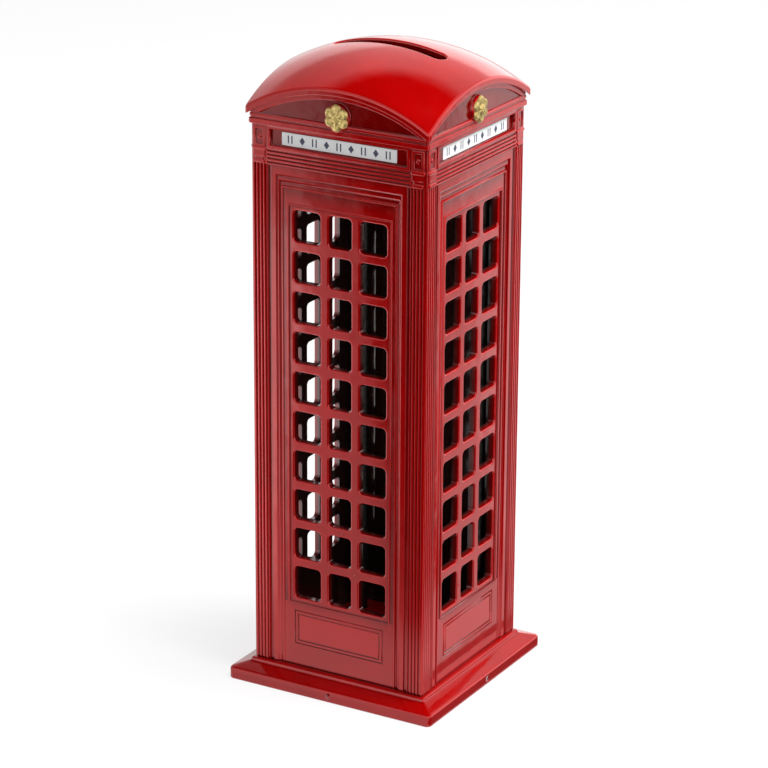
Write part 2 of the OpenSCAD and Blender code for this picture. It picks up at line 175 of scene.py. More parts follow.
# Plinth: top of its rounded shoulder, ledge's half-width, rim round the pocket, and the heights where the
# enamel turns lighter (rubbed paint, with a painted highlight on the shoulder) and darker (paint pooling and
# a painted shade)
SHOULDER_TOP, LEDGE_HALF, POCKET_RIM = 3.6, 27.9, 5
WORN_AND_LIT, WORN_AND_LIT_HEIGHTS = 0.45, ((0.0, 0.2), (2.9, 3.5))
POOLED_AND_SHADED, POOLED_AND_SHADED_HEIGHTS = -0.35, (4.6, 5.0)

# Tie screws, and the holes that they and the stopper leave in the plinth
SCREW_AT = 19.1
SCREWS = [(SCREW_AT * x, SCREW_AT * y) for x in (-1, 1) for y in (-1, 1)]
SCREW_HOLE_R, COUNTERBORE_R, HOLE_EASE = 1.75, 3.55, 0.2
OUTLET_R, OUTLET_EASE = 15.0, 0.3

# Labels: card's corner radius and eased edge, thickness of the print, number and pitch of its marks
CARD_CORNER, CARD_EASE, PRINT_T, MARKS, MARK_PITCH = 0.15, 0.05, 0.02, 9, 3.75

# Relief value of the inner faces, which the enamel turns near-black as a painted shade of the unlit inside
INSIDE_SHADE = -2.0

# Where a groove, a soft step and a round corner are sampled, as shares of their width
REED_SAMPLES = [REED_HALF * share / 4 for share in range(-4, 5)]
STEP_SAMPLES = (-0.5, -0.2, 0.2, 0.5)
CORNER_SAMPLES = (1.0, 0.6875, 0.475, 0.35)


# ---------------------------------------------------------------- sizes and colours


def length(name, description, default):
    """A length in metres whose default is given in millimetres."""
    default *= MM
    return FloatProperty(name=name, description=description, default=default, unit="LENGTH", precision=5)


def colour(name, description, default):
    """A colour that the panel shows as a swatch."""
    return FloatVectorProperty(
        name=name, description=description, default=default, size=3, subtype="COLOR", min=0, max=1
    )


class MoneyBoxSizes(bpy.types.PropertyGroup):
    """Sizes that a maker would change"""

    body_half: length("Body half-width", "Upright axis to a wall's outer face", 27)
    wall_t: length("Wall thickness", "Outer to inner face of a wall", 3)
    corner_r: length("Corner radius", "Radius of the body's upright corners", 0.8)
    reed_depth: length("Reed depth", "Depth of the grooves between the reeds", 0.45)
    bead_w: length("Bead width", "Width of the two thin beads around the lattice", 0.5)
    lattice_depth: length("Lattice depth", "Lattice below the body's outer face", 1)
    window_r: length("Window corner", "Radius of a window's corners", 1.2)
    window_rim: length("Window rim", "Radius of the paint-softened rim of a window", 0.45)
    soft: length("Edge softness", "Width over which enamel rounds a casting step", 0.26)
    cornice_reach: length("Cornice reach", "How far the cornice stands out", 0.6)
    roof_t: length("Roof thickness", "Thickness of the dome", 1.7)
    roof_lip: length("Roof lip", "Radius of the roof's outer lip", 0.7)
    slot_l: length("Slot length", "Length of the coin slot", 34)
    slot_w: length("Slot width", "Width of the coin slot", 4.8)
    slot_lip: length("Slot lip", "Radius of the slot's lip", 0.6)
    petals: IntProperty(name="Petals", description="Number of petals on a rosette", default=6, min=5, max=8)


class MoneyBoxColours(bpy.types.PropertyGroup):
    """Colours of the finishes"""

    enamel: colour("Enamel", "Red enamel on the castings", (0.37, 0.0008, 0.0009))
    # Near-black painted shade of the unlit inside, on the inner faces and deepening along the window jambs;
    # not the metal's own colour
    casting: colour("Bare casting", "Unpainted metal inside the walls", (0.035, 0.012, 0.011))
    nick: colour("Nick", "Bare spot where the plinth is knocked", (0.05, 0.002, 0.002))
    gilt: colour("Gilt", "Gold paint on the rosettes", (0.56, 0.42, 0.15))
    # Colour that the gilt takes in the notches between the petals
    gilt_notch: colour("Gilt edge", "Gold paint where it runs thin", (0.22, 0.13, 0.04))
    card: colour("Label card", "White card of the labels", (0.80, 0.81, 0.82))
    ink: colour("Label ink", "Dark print on the labels", (0.02, 0.024, 0.05))
    rubber: colour("Rubber", "Rubber of the coin stopper", (0.018, 0.018, 0.02))
    # Darkened as a painted shade of the unlit inside, where the screws stand
    steel: colour("Steel", "Steel of the tie screws", (0.12, 0.115, 0.11))
    floor: colour("Floor", "Pale studio floor", (0.2, 0.2, 0.2))


# ---------------------------------------------------------------- shape helpers


def ease(t):
    """Smooth step from 0 to 1."""
    t = np.clip(t, 0.0, 1.0)
    return t * t * (3 - 2 * t)


def rise(x, soft):
    """0 where x is well below zero, 1 where it is well above, eased over the soft width."""
    return ease(x / soft + 0.5)


def rounding(inside, r):
    """Drop of a quarter-round edge of radius r at a distance inside the edge."""
    t = np.clip(r - inside, 0.0, r)
    return r - np.sqrt(np.maximum(r * r - t * t, 0.0))


def quarter_steps(r, n):
    """Distances inside an edge at which its quarter-round is sampled."""
    return [r * (1 - math.cos(math.radians(90 * i / n))) for i in range(n + 1)]


def square_loop(half_x, half_y, r, n=6, centre=(0, 0)):
    """Rectangle with round corners, counter-clockwise, n steps to a corner."""
    r = max(r, 0.01)
    pts = []
    for k, (sx, sy) in enumerate(((1, 1), (-1, 1), (-1, -1), (1, -1))):
        for i in range(n + 1):
            a = math.radians(90 * (k + i / n))
            pts.append((
                centre[0] + sx * (half_x - r) + r * math.cos(a),
                centre[1] + sy * (half_y - r) + r * math.sin(a),
            ))
    return pts


def circle_loop(r, n, centre=(0, 0)):
    """Circle as a closed loop of n points."""
    return [
        (centre[0] + r * math.cos(2 * math.pi * i / n), centre[1] + r * math.sin(2 * math.pi * i / n))
        for i in range(n)
    ]


def long_sides(loop, step):
    """The loop with points added along its straight sides."""
    full = []
    for a, b in zip(loop, loop[1:] + loop[:1]):
        n = max(1, int(math.dist(a, b) / step))
        full += [(a[0] + (b[0] - a[0]) * i / n, a[1] + (b[1] - a[1]) * i / n) for i in range(n)]
    return full


def box_distance(x, y, half_x, half_y, r):
    """Distance outside a rectangle with round corners, negative inside it."""
    past_x, past_y = np.abs(x) - (half_x - r), np.abs(y) - (half_y - r)
    outside = np.hypot(np.maximum(past_x, 0), np.maximum(past_y, 0))
    return outside + np.minimum(np.maximum(past_x, past_y), 0) - r


def flat_key(point):
    """Key by which two points that lie on each other in plan are matched."""
    return tuple(round(float(c), 3) for c in point[:2])


def inside_loop(points, loop):
    """True for each point that lies inside a closed loop."""
    x, y = points[:, 0][:, None], points[:, 1][:, None]
    a = np.asarray(loop, float)
    b = np.roll(a, -1, axis=0)
    crosses = (a[:, 1] > y) != (b[:, 1] > y)
    with np.errstate(divide="ignore", invalid="ignore"):
        at = (b[:, 0] - a[:, 0]) * (y - a[:, 1]) / (b[:, 1] - a[:, 1]) + a[:, 0]
    return (np.sum(crosses & (x < at), axis=1) % 2) == 1


class Sheet:
    """A flat drawing: an outline, holes, and lines that its mesh has to keep."""

    def __init__(self, outline):
        self.points, self.edges, self.holes = [], [], []
        self.outline = list(outline)
        self.line(self.outline, closed=True)

    def line(self, pts, closed=False):
        """A run of edges that the mesh keeps."""
        start = len(self.points)
        self.points += [Vector(p) for p in pts]
        n = len(pts)
        self.edges += [(start + i, start + i + 1) for i in range(n - 1)]
        if closed:
            self.edges.append((start + n - 1, start))

    def hole(self, loop):
        """A closed loop that the mesh leaves open."""
        self.holes.append(list(loop))
        self.line(loop, closed=True)

    def dots(self, pts):
        """Single points that the mesh takes in."""
        self.points += [Vector(p) for p in pts]

    def triangles(self):
        """Points and triangles of the drawing, without what lies outside it or in its holes."""
        out = delaunay_2d_cdt(self.points, self.edges, [], 0, 1e-4)
        pts = np.array([tuple(p) for p in out[0]], float)
        tris = np.array([f for f in out[2]], int)
        mid = pts[tris].mean(axis=1)
        keep = inside_loop(mid, self.outline)
        for loop in self.holes:
            keep &= ~inside_loop(mid, loop)
        a, b, c = (pts[tris[:, i]] for i in range(3))
        area = (b[:, 0] - a[:, 0]) * (c[:, 1] - a[:, 1]) - (b[:, 1] - a[:, 1]) * (c[:, 0] - a[:, 0])
        tris[area < 0] = tris[area < 0][:, ::-1]
        keep &= np.abs(area) > 1e-9
        return pts, tris[keep]


def rims(tris):
    """Closed loops of point numbers along the edges that only one triangle uses."""
    ahead = {}
    edges = {(int(a), int(b)) for t in tris for a, b in ((t[0], t[1]), (t[1], t[2]), (t[2], t[0]))}
    for a, b in edges:
        if (b, a) not in edges:
            ahead[a] = b
    loops = []
    while ahead:
        first, here = ahead.popitem()
        loop = [first]
        while here != first:
            loop.append(here)
            here = ahead.pop(here)
        loops.append(loop)
    return loops


class Casting:
    """Gathers points, faces, corner normals and the relief value of each point."""

    def __init__(self):
        self.points, self.faces, self.normals, self.relief, self.slots = [], [], [], [], []
        self.slot = 0

    def add(self, pts, relief=None):
        """Adds points and gives the number of the first."""
        start = len(self.points)
        self.points += [tuple(p) for p in pts]
        self.relief += list(relief) if relief is not None else [0.0] * len(pts)
        return start

    def ring(self, pts, relief=0.0):
        """Adds points that share a relief value and gives their numbers."""
        start = self.add(pts, [relief] * len(pts))
        return list(range(start, len(self.points)))

    def face(self, ids, normals):
        """A face with a normal at each corner."""
        self.faces.append(tuple(int(i) for i in ids))
        self.normals += [tuple(n) for n in normals]
        self.slots.append(self.slot)

    def flat(self, ids):
        """A face with its own flat normal."""
        p = [Vector(self.points[i]) for i in ids]
        n = Vector((0, 0, 0))
        for i in range(len(p)):
            n += p[i].cross(p[(i + 1) % len(p)])
        n.normalize()
        self.face(ids, [n] * len(ids))

    def sheet(self, pts, tris, normals, relief=None):
        """A skin of triangles with a normal at each point."""
        start = self.add(pts, relief)
        for t in tris:
            self.face([start + i for i in t], [normals[i] for i in t])
        return start

    def wall(self, upper, lower):
        """Flat quads between two closed loops of point numbers."""
        n = len(upper)
        for i in range(n):
            j = (i + 1) % n
            self.flat((upper[j], upper[i], lower[i], lower[j]))

    def band(self, low, high, low_normals, high_normals):
        """Quads between two closed loops of point numbers."""
        n = len(low)
        for i in range(n):
            j = (i + 1) % n
            self.face(
                (low[i], low[j], high[j], high[i]),
                (low_normals[i], low_normals[j], high_normals[j], high_normals[i]),
            )

    def fill(self, loops, normal):
        """A level or an upright face between an outer loop of point numbers and the loops inside it."""
        second = 2 if normal[1] else 1
        flat = [[(self.points[i][0], self.points[i][second]) for i in loop] for loop in loops]
        sheet = Sheet(flat[0])
        for loop in flat[1:]:
            sheet.hole(loop)
        pts, tris = sheet.triangles()
        known = {flat_key(p): i for loop, ids in zip(flat, loops) for p, i in zip(loop, ids)}
        ids = []
        for p in pts:
            key = flat_key(p)
            if key not in known:
                near = min(known, key=lambda k: (k[0] - p[0]) ** 2 + (k[1] - p[1]) ** 2)
                known[key] = known[near]
            ids.append(known[key])
        turned = normal[1] > 0 or normal[2] < 0
        for t in tris:
            tri = [ids[i] for i in (t[::-1] if turned else t)]
            if len(set(tri)) == 3:
                self.face(tri, [normal] * 3)

    def build(self, name, materials, turn=0, scale=MM):
        """Makes the Blender object, turned by a number of quarter turns."""
        c, s = (1, 0, -1, 0)[turn % 4], (0, 1, 0, -1)[turn % 4]
        spin = np.array([[c, -s, 0], [s, c, 0], [0, 0, 1]], float)
        pts = np.array(self.points, float) @ spin.T * scale
        mesh = bpy.data.meshes.new(name)
        mesh.from_pydata(pts.tolist(), [], self.faces)
        mesh.polygons.foreach_set("use_smooth", [True] * len(mesh.polygons))
        mesh.polygons.foreach_set("material_index", self.slots)
        relief_value = mesh.attributes.new("relief", "FLOAT", "POINT")
        relief_value.data.foreach_set("value", np.array(self.relief, np.float32))
        for m in materials:
            mesh.materials.append(m)
        normals = np.array(self.normals, float) @ spin.T
        normals /= np.maximum(np.linalg.norm(normals, axis=1), 1e-9)[:, None]
        mesh.normals_split_custom_set(normals.tolist())
        if mesh.validate(clean_customdata=False):
            raise RuntimeError(f"{name} has faulty faces")
        mesh.update()
        obj = bpy.data.objects.new(name, mesh)
        bpy.context.scene.collection.objects.link(obj)
        return obj


def place(obj, body, slot, *nodes):
    """Hands a finished piece to the frame."""
    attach(obj, body)
    if nodes:
        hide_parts(*nodes)
    return obj


# ---------------------------------------------------------------- wall relief


class WallPattern:
    """Relief of one wall in millimetres: u runs across it and z up it."""

    def __init__(self, sizes, has_windows, blemishes=()):
        self.half = sizes.body_half / MM
        self.inner = self.half - sizes.wall_t / MM
        self.corner_r = sizes.corner_r / MM
        self.reed_depth = sizes.reed_depth / MM
        self.rim = sizes.window_rim / MM
        self.window_r = sizes.window_r / MM
        self.reach = sizes.cornice_reach / MM
        self.soft = sizes.soft / MM
        self.blemishes = blemishes
        diagonal = mm_box("roof")[1][0] * math.sqrt(2)
        self.dome_r = (diagonal ** 2 + DOME_RISE ** 2) / (2 * DOME_RISE)
        self.dome_z = CROWN - self.dome_r
        self.under_r = self.dome_r - sizes.roof_t / MM - SEAM
        self.panel_r = math.sqrt(self.under_r ** 2 - PEDIMENT_FACE ** 2) - PEDIMENT_BORDER
        # across, half-width, low, high, depth, softness; later ones lie over earlier ones
        depth, bead = sizes.lattice_depth / MM, sizes.bead_w / MM
        self.patches = self.door_patches(depth, bead) + self.kick_patches(depth) + self.head_patches()
        self.windows = self.window_boxes() if has_windows else []

    def door_patches(self, depth, bead):
        """The nested steps of the door frame, from its outer strip in to the lattice."""
        soft, low = self.soft, PAST_FOOT
        return [
            (0, DOOR_HALF, low, DOOR_HEAD, 0.2 * depth, soft),
            (GAP_MID, GAP_HALF, low, GAP_TOP, 0.8 * depth, 0.4),
            (0, STRIP_HALF, low, STRIP_TOP, 0.58 * depth, 0.5),
            (0, STEP_HALF, low, STEP_TOP, depth, 0.6),
            (0, BEAD_HALF, low, BEAD_TOP, 0.48 * depth, 0.8 * soft),
            (0, BEAD_HALF - bead, low, BEAD_TOP - bead, 0.8 * depth, 0.8 * soft),
            (0, LATTICE_HALF, KICK_TOP, LATTICE_TOP, 0.5 * depth, 0.8 * soft),
            (0, LATTICE_HALF - bead, KICK_TOP, LATTICE_TOP - bead, depth, soft),
        ]

    def kick_patches(self, depth):
        """The kick panel, and the thin lines of the field inside it."""
        fields = [(0, KICK_HALF, PAST_FOOT, KICK_TOP, 0.65 * depth, self.soft)]
        for inset, share in KICK_LINES:
            low, high = FIELD_LOW + inset, FIELD_TOP - inset
            fields.append((0, FIELD_HALF - inset, low, high, share * depth, LINE_SOFT))
        return fields

    def head_patches(self):
        """The sign box, and the capital over each pilaster."""
        border = SIGN_BORDER
        sign = [
            (0, SIGN_HALF, SIGN_LOW, SIGN_TOP, -SIGN_PROUD, self.soft),
            (0, SIGN_HALF - border, SIGN_LOW + border, SIGN_TOP - border, SIGN_DEPTH, self.soft),
        ]
        return sign + [(PILASTER_MID, *extent, soft or self.soft) for *extent, soft in CAPITAL]

    def window_boxes(self):
        """(low u, high u, low z, high z) of each opening."""
        wide = (2 * WINDOWS_HALF - 2 * BAR_W + MIDDLE_NARROWER) / 3
        middle, inner = (wide - MIDDLE_NARROWER) / 2, WINDOWS_HALF - wide
        columns = [(-WINDOWS_HALF, -inner), (-middle, middle), (inner, WINDOWS_HALF)]
        tall = (WINDOWS_TOP - SILL - LOW_ROW_TALLER - (ROWS - 1) * BAR_W) / ROWS
        boxes = []
        for row in range(ROWS):
            high = SILL + LOW_ROW_TALLER + row * (tall + BAR_W) + tall
            low = high - tall if row else SILL
            boxes += [(a, b, low, high) for a, b in columns]
        return boxes

    def stand(self, z):
        """Distance of the plain face from the upright axis, with the cornice's mouldings."""
        return self.half + self.reach * sum(share * rise(z - at, soft) for share, at, soft in CORNICE)

    def side(self, z):
        """Where the mitre ends the wall."""
        return self.stand(z) - self.corner_r * (1 - math.sqrt(0.5))

    def reed(self, offset):
        """Depth of one groove with eased shoulders at a distance from its middle."""
        return self.reed_depth * np.clip(1 - (np.abs(offset) / REED_HALF) ** 2, 0, 1) ** 1.5

    def rim_distance(self, u, z):
        """Distance to the nearest window opening."""
        best = np.full(np.shape(u), 1e3)
        for a, b, c, d in self.windows:
            away = box_distance(u - (a + b) / 2, z - (c + d) / 2, (b - a) / 2, (d - c) / 2, self.window_r)
            best = np.minimum(best, np.maximum(away, 0))
        return best

    def depth(self, u, z):
        """How far the relief is cut below the plain face."""
        au = np.abs(u)
        depth = np.zeros(np.shape(u))
        for across, half, low, high, deep, soft in self.patches:
            mask = rise(half - np.abs(au - across), soft) * rise(z - low, soft) * rise(high - z, soft)
            depth = depth + (deep - depth) * mask
        upright = rise(au - REED_IN[0], REED_IN[1]) * rise(REED_HEAD[0] - z, REED_HEAD[1])
        for edge in REED_EDGES:
            depth = depth + self.reed(au - DOOR_HALF - edge) * upright
        level = rise(BAND_END[0] - au, BAND_END[1])
        for edge in REED_EDGES:
            depth = depth + self.reed(z - DOOR_HEAD - edge) * level
        depth = depth + FOOT_CUT * rise(FOOT_STEP[0] - z, FOOT_STEP[1])
        if self.windows:
            depth = depth + rounding(self.rim_distance(u, z), self.rim)
        arch = rise(self.panel_r - np.hypot(u, z - self.dome_z), ARCH_SOFT)
        return depth + PEDIMENT_DEPTH * arch * rise(z - PANEL_LOW, PANEL_SOFT)

    def height(self, u, z):
        """Distance of the skin from the upright axis."""
        au = np.abs(u)
        stand = self.stand(z)
        out = stand - self.depth(u, z)
        out = out + (BOSS_FACE - out) * rise(BOSS_R - np.hypot(u, z - BOSS_Z), BOSS_SOFT)
        out = out + PIN_PROUD * rise(PIN_R - np.hypot(au - PILASTER_MID, z - PIN_Z), PIN_SOFT)
        for across, up, radius, proud in self.blemishes:
            away = np.hypot(u - across, z - up) / radius
            out = out + proud * np.clip(1 - away ** 2, 0, 1) ** 2
        return out - rounding(stand - au, self.corner_r)

    def top(self, u, out):
        """Height of the wall's upper edge, just under the dome."""
        return self.dome_z + math.sqrt(self.under_r ** 2 - out ** 2 - u ** 2)

    def levels(self):
        """Heights at which the wall's ends change their reach, from the foot up."""
        cornice = sorted(at + s * soft for _share, at, soft in CORNICE for s in STEP_SAMPLES)
        return [FOOT] + [FOOT_STEP[0] + s * FOOT_STEP[1] for s in STEP_SAMPLES] + cornice

    def rounded_face(self, inset):
        """Distance of the pediment's face from the axis, at an inset from its corner."""
        return self.stand(PEDIMENT_Z) - float(rounding(np.array(inset), self.corner_r))

    def outline(self):
        """The edge of the wall: up its right end, over the arch and down its left end."""
        right = [(self.side(z), z) for z in self.levels()]
        end, arc, steps = self.side(PEDIMENT_Z), [], 96
        for i in range(steps + 1):
            u = end * math.cos(math.pi * i / steps)
            arc.append((u, self.top(u, self.rounded_face(self.stand(PEDIMENT_Z) - abs(u)))))
        return [(-right[0][0], FOOT)] + right + arc + [(-u, z) for u, z in reversed(right[1:])]

    def drawing(self):
        """The sheet of lines that carries this relief."""
        sheet = Sheet(self.outline())
        self.corner_lines(sheet)
        self.step_lines(sheet)
        self.reed_lines(sheet)
        self.window_lines(sheet)
        self.pediment_lines(sheet)
        for across, up, radius, _proud in self.blemishes:
            for share in (0.3, 0.6, 1.0):
                sheet.line(circle_loop(radius * share, 12, (across, up)), closed=True)
            sheet.dots([(across, up)])
        return sheet

    def corner_lines(self, sheet):
        """Lines along the mouldings, and up the rounded corners."""
        levels = self.levels()
        for z in levels[1:]:
            sheet.line([(-self.side(z), z), (self.side(z), z)])
        for share in CORNER_SAMPLES:
            inset = share * self.corner_r
            upper = self.stand(PEDIMENT_Z) - inset
            tip = self.top(upper, self.rounded_face(inset)) - 0.02
            for sign in (-1, 1):
                sheet.line([(sign * (self.stand(z) - inset), z) for z in levels] + [(sign * upper, tip)])

    def step_lines(self, sheet):
        """Lines along the edges of every patch."""
        for across, half, low, high, _deep, soft in self.patches:
            for s in STEP_SAMPLES:
                h, a, b = half + s * soft, max(low - s * soft, FOOT), high + s * soft
                for mid in {across, -across}:
                    sheet.line([(mid - h, a), (mid - h, b), (mid + h, b), (mid + h, a)], closed=a > FOOT)

    def reed_lines(self, sheet):
        """Lines along the grooves beside the door and over it, and across their ends."""
        for edge in REED_EDGES:
            for t in REED_SAMPLES:
                for sign in (-1, 1):
                    u = sign * (DOOR_HALF + edge + t)
                    sheet.line([(u, FOOT), (u, DOOR_HEAD)])
        for s in STEP_SAMPLES:
            z = REED_HEAD[0] + s * REED_HEAD[1]
            for sign in (-1, 1):
                sheet.line([(sign * BAND_END[0], z), (sign * (self.half - self.corner_r), z)])
        end = DOOR_HALF + 0.1
        for edge in REED_EDGES:
            for t in REED_SAMPLES:
                z = DOOR_HEAD + edge + t
                sheet.line([(-end, z), (end, z)])
        for s in STEP_SAMPLES:
            for sign in (-1, 1):
                u = sign * (BAND_END[0] - s * BAND_END[1])
                sheet.line([(u, DOOR_HEAD), (u, SIGN_LOW)])

    def window_lines(self, sheet):
        """The openings, and the lines of their soft rims."""
        for a, b, c, d in self.windows:
            middle, half = ((a + b) / 2, (c + d) / 2), ((b - a) / 2, (d - c) / 2)
            sheet.hole(square_loop(*half, self.window_r, 6, middle))
            for inset in quarter_steps(self.rim, 4)[1:]:
                rim = square_loop(half[0] + inset, half[1] + inset, self.window_r + inset, 6, middle)
                sheet.line(rim, closed=True)

    def pediment_lines(self, sheet):
        """Lines around the pediment's panel, its boss and the capitals' pins."""
        steps = 40
        for s in STEP_SAMPLES:
            r, low = self.panel_r + s * ARCH_SOFT, PANEL_LOW - s * PANEL_SOFT - self.dome_z
            spread = math.atan2(math.sqrt(r * r - low * low), low)
            turns = [spread * t / steps for t in range(-steps, steps + 1)]
            sheet.line([(r * math.sin(a), self.dome_z + r * math.cos(a)) for a in turns], closed=True)
        for s in STEP_SAMPLES:
            sheet.line(circle_loop(BOSS_R + s * BOSS_SOFT, 40, (0, BOSS_Z)), closed=True)
            for sign in (-1, 1):
                sheet.line(circle_loop(PIN_R + s * PIN_SOFT, 12, (sign * PILASTER_MID, PIN_Z)), closed=True)

    def skin(self, made, pts, tris):
        """The outer face, its normals from the relief's slope and its relief value from the curve."""
        u, z = pts[:, 0], pts[:, 1]
        out = self.height(u, z)
        near = 0.0004
        du = (self.height(u + near, z) - self.height(u - near, z)) / (2 * near)
        dz = (self.height(u, z + near) - self.height(u, z - near)) / (2 * near)
        normals = np.stack([-du, -np.ones_like(du), -dz], axis=1)
        # Curvature as the relief value: the enamel goes darker in hollows (paint pooling and a painted
        # shade) and lighter on crests (thinner paint and a painted highlight)
        wide = 0.22
        curve = (
            self.height(u + wide, z) + self.height(u - wide, z)
            + self.height(u, z + wide) + self.height(u, z - wide) - 4 * out
        ) / wide
        made.sheet(np.stack([u, -out, z], axis=1), tris, normals, np.clip(-curve, -1, 1))

    def back_of_edge(self, p):
        """Points of the inner face behind the wall's edge."""
        side = np.array([self.side(z) for z in p[:, 1]])
        u = p[:, 0] * self.inner / side
        under = CORNICE_TOP + 0.5
        lift = np.array([self.top(x, self.inner) if z > under else z for x, z in zip(u, p[:, 1])])
        return np.stack([u, np.full(len(p), -self.inner), lift], axis=1)

    def back_of_window(self, p):
        """Points of the inner face behind a window, drawn in a little as a casting's draught."""
        draught = 0.3
        middle, size = (p.max(axis=0) + p.min(axis=0)) / 2, np.ptp(p, axis=0)
        back = middle + (p - middle) * (size - draught) / size
        return np.stack([back[:, 0], np.full(len(p), -self.inner), back[:, 1]], axis=1)

    def jambs(self, made, loop, ids, p):
        """The sides of a window, smooth round its corners and flat along its straights."""
        n, straight = len(loop), 2
        for i in range(n):
            j = (i + 1) % n
            before, along, after = p[i] - p[i - 1], p[j] - p[i], p[(j + 1) % n] - p[j]
            n0, n1 = before + along, along + after
            if np.hypot(*along) > straight:
                n0 = n1 = along
            side_i, side_j = (n0[1], 0, -n0[0]), (n1[1], 0, -n1[0])
            made.face((loop[j], loop[i], ids[i], ids[j]), (side_j, side_i, side_i, side_j))

    def casting(self):
        """The closed skin of one wall at the front."""
        pts, tris = self.drawing().triangles()
        made = Casting()
        self.skin(made, pts, tris)
        edge, *openings = sorted(rims(tris), key=lambda loop: -np.ptp(pts[loop][:, 1]))
        # The inner faces take the painted-shade value, so the jambs fade from the enamel to near-black: a
        # painted shade of the unlit inside
        inside = [made.ring(self.back_of_edge(pts[edge]), INSIDE_SHADE)]
        made.wall(edge, inside[0])
        for loop in openings:
            p = pts[loop]
            ids = made.ring(self.back_of_window(p), INSIDE_SHADE)
            self.jambs(made, loop, ids, p)
            inside.append(ids)
        made.fill(inside, (0, 1, 0))
        return made


# ---------------------------------------------------------------- materials


class Nodes:
    """Short way to lay out a shader."""

    def __init__(self, name):
        self.material = bpy.data.materials.new(name)
        self.material.use_nodes = True
        self.tree = self.material.node_tree
        self.tree.nodes.clear()
        self.out = self.tree.nodes.new("ShaderNodeOutputMaterial")
        self.shader = self.tree.nodes.new("ShaderNodeBsdfPrincipled")
        self.link(self.shader.outputs[0], self.out.inputs["Surface"])

    def link(self, a, b):
        """Joins an output to an input."""
        self.tree.links.new(a, b)

    def node(self, kind, **values):
        """A node, with its settings or constant inputs by name."""
        made = self.tree.nodes.new(kind)
        for key, value in values.items():
            if hasattr(made, key):
                setattr(made, key, value)
            else:
                made.inputs[key.replace("_", " ").title()].default_value = value
        return made

    def place(self):
        """Place on the object, in metres."""
        return self.node("ShaderNodeTexCoord").outputs["Object"]

    def noise(self, scale, detail=2.0, roughness=0.5, distortion=0.0):
        """Smooth noise over the object, from 0 to 1."""
        made = self.node("ShaderNodeTexNoise")
        made.inputs["Scale"].default_value = scale
        made.inputs["Detail"].default_value = detail
        made.inputs["Roughness"].default_value = roughness
        made.inputs["Distortion"].default_value = distortion
        self.link(self.place(), made.inputs["Vector"])
        return made.outputs["Fac"]

    def spread(self, value, low, high, to_low, to_high):
        """The value carried from one range to another."""
        made = self.node("ShaderNodeMapRange")
        self.link(value, made.inputs["Value"])
        for key, v in zip(("From Min", "From Max", "To Min", "To Max"), (low, high, to_low, to_high)):
            made.inputs[key].default_value = v
        return made.outputs["Result"]

    def mix(self, share, a, b, blend="MIX"):
        """A share of the way from colour a to colour b."""
        made = self.node("ShaderNodeMix", data_type="RGBA", blend_type=blend)
        for value, key in ((share, 0), (a, 6), (b, 7)):
            if hasattr(value, "links"):
                self.link(value, made.inputs[key])
            else:
                made.inputs[key].default_value = value if key == 0 else (*value[:3], 1)
        return made.outputs[2]

    def spot(self, centre, radius):
        """1 at a point of the object, falling to 0 at a radius, both in metres."""
        away = self.node("ShaderNodeVectorMath", operation="DISTANCE")
        self.link(self.place(), away.inputs[0])
        away.inputs[1].default_value = centre
        return self.spread(away.outputs["Value"], radius, radius * 0.3, 0, 1)

    def bump(self, height, strength, distance, after=None):
        """A normal bent by a height, on top of an earlier one."""
        made = self.node("ShaderNodeBump")
        made.inputs["Strength"].default_value = strength
        made.inputs["Distance"].default_value = distance
        self.link(height, made.inputs["Height"])
        if after is not None:
            self.link(after, made.inputs["Normal"])
        return made.outputs["Normal"]

    def set(self, **values):
        """Constant inputs of the shader by name."""
        for key, value in values.items():
            self.shader.inputs[key.replace("_", " ")].default_value = value


# Casting faults on the sides of the plinth, in metres
PLINTH_NICK = (0.0325, 0.0008, 0.0018)
PLINTH_PIMPLE = (0.0003, -0.0325, 0.0018)


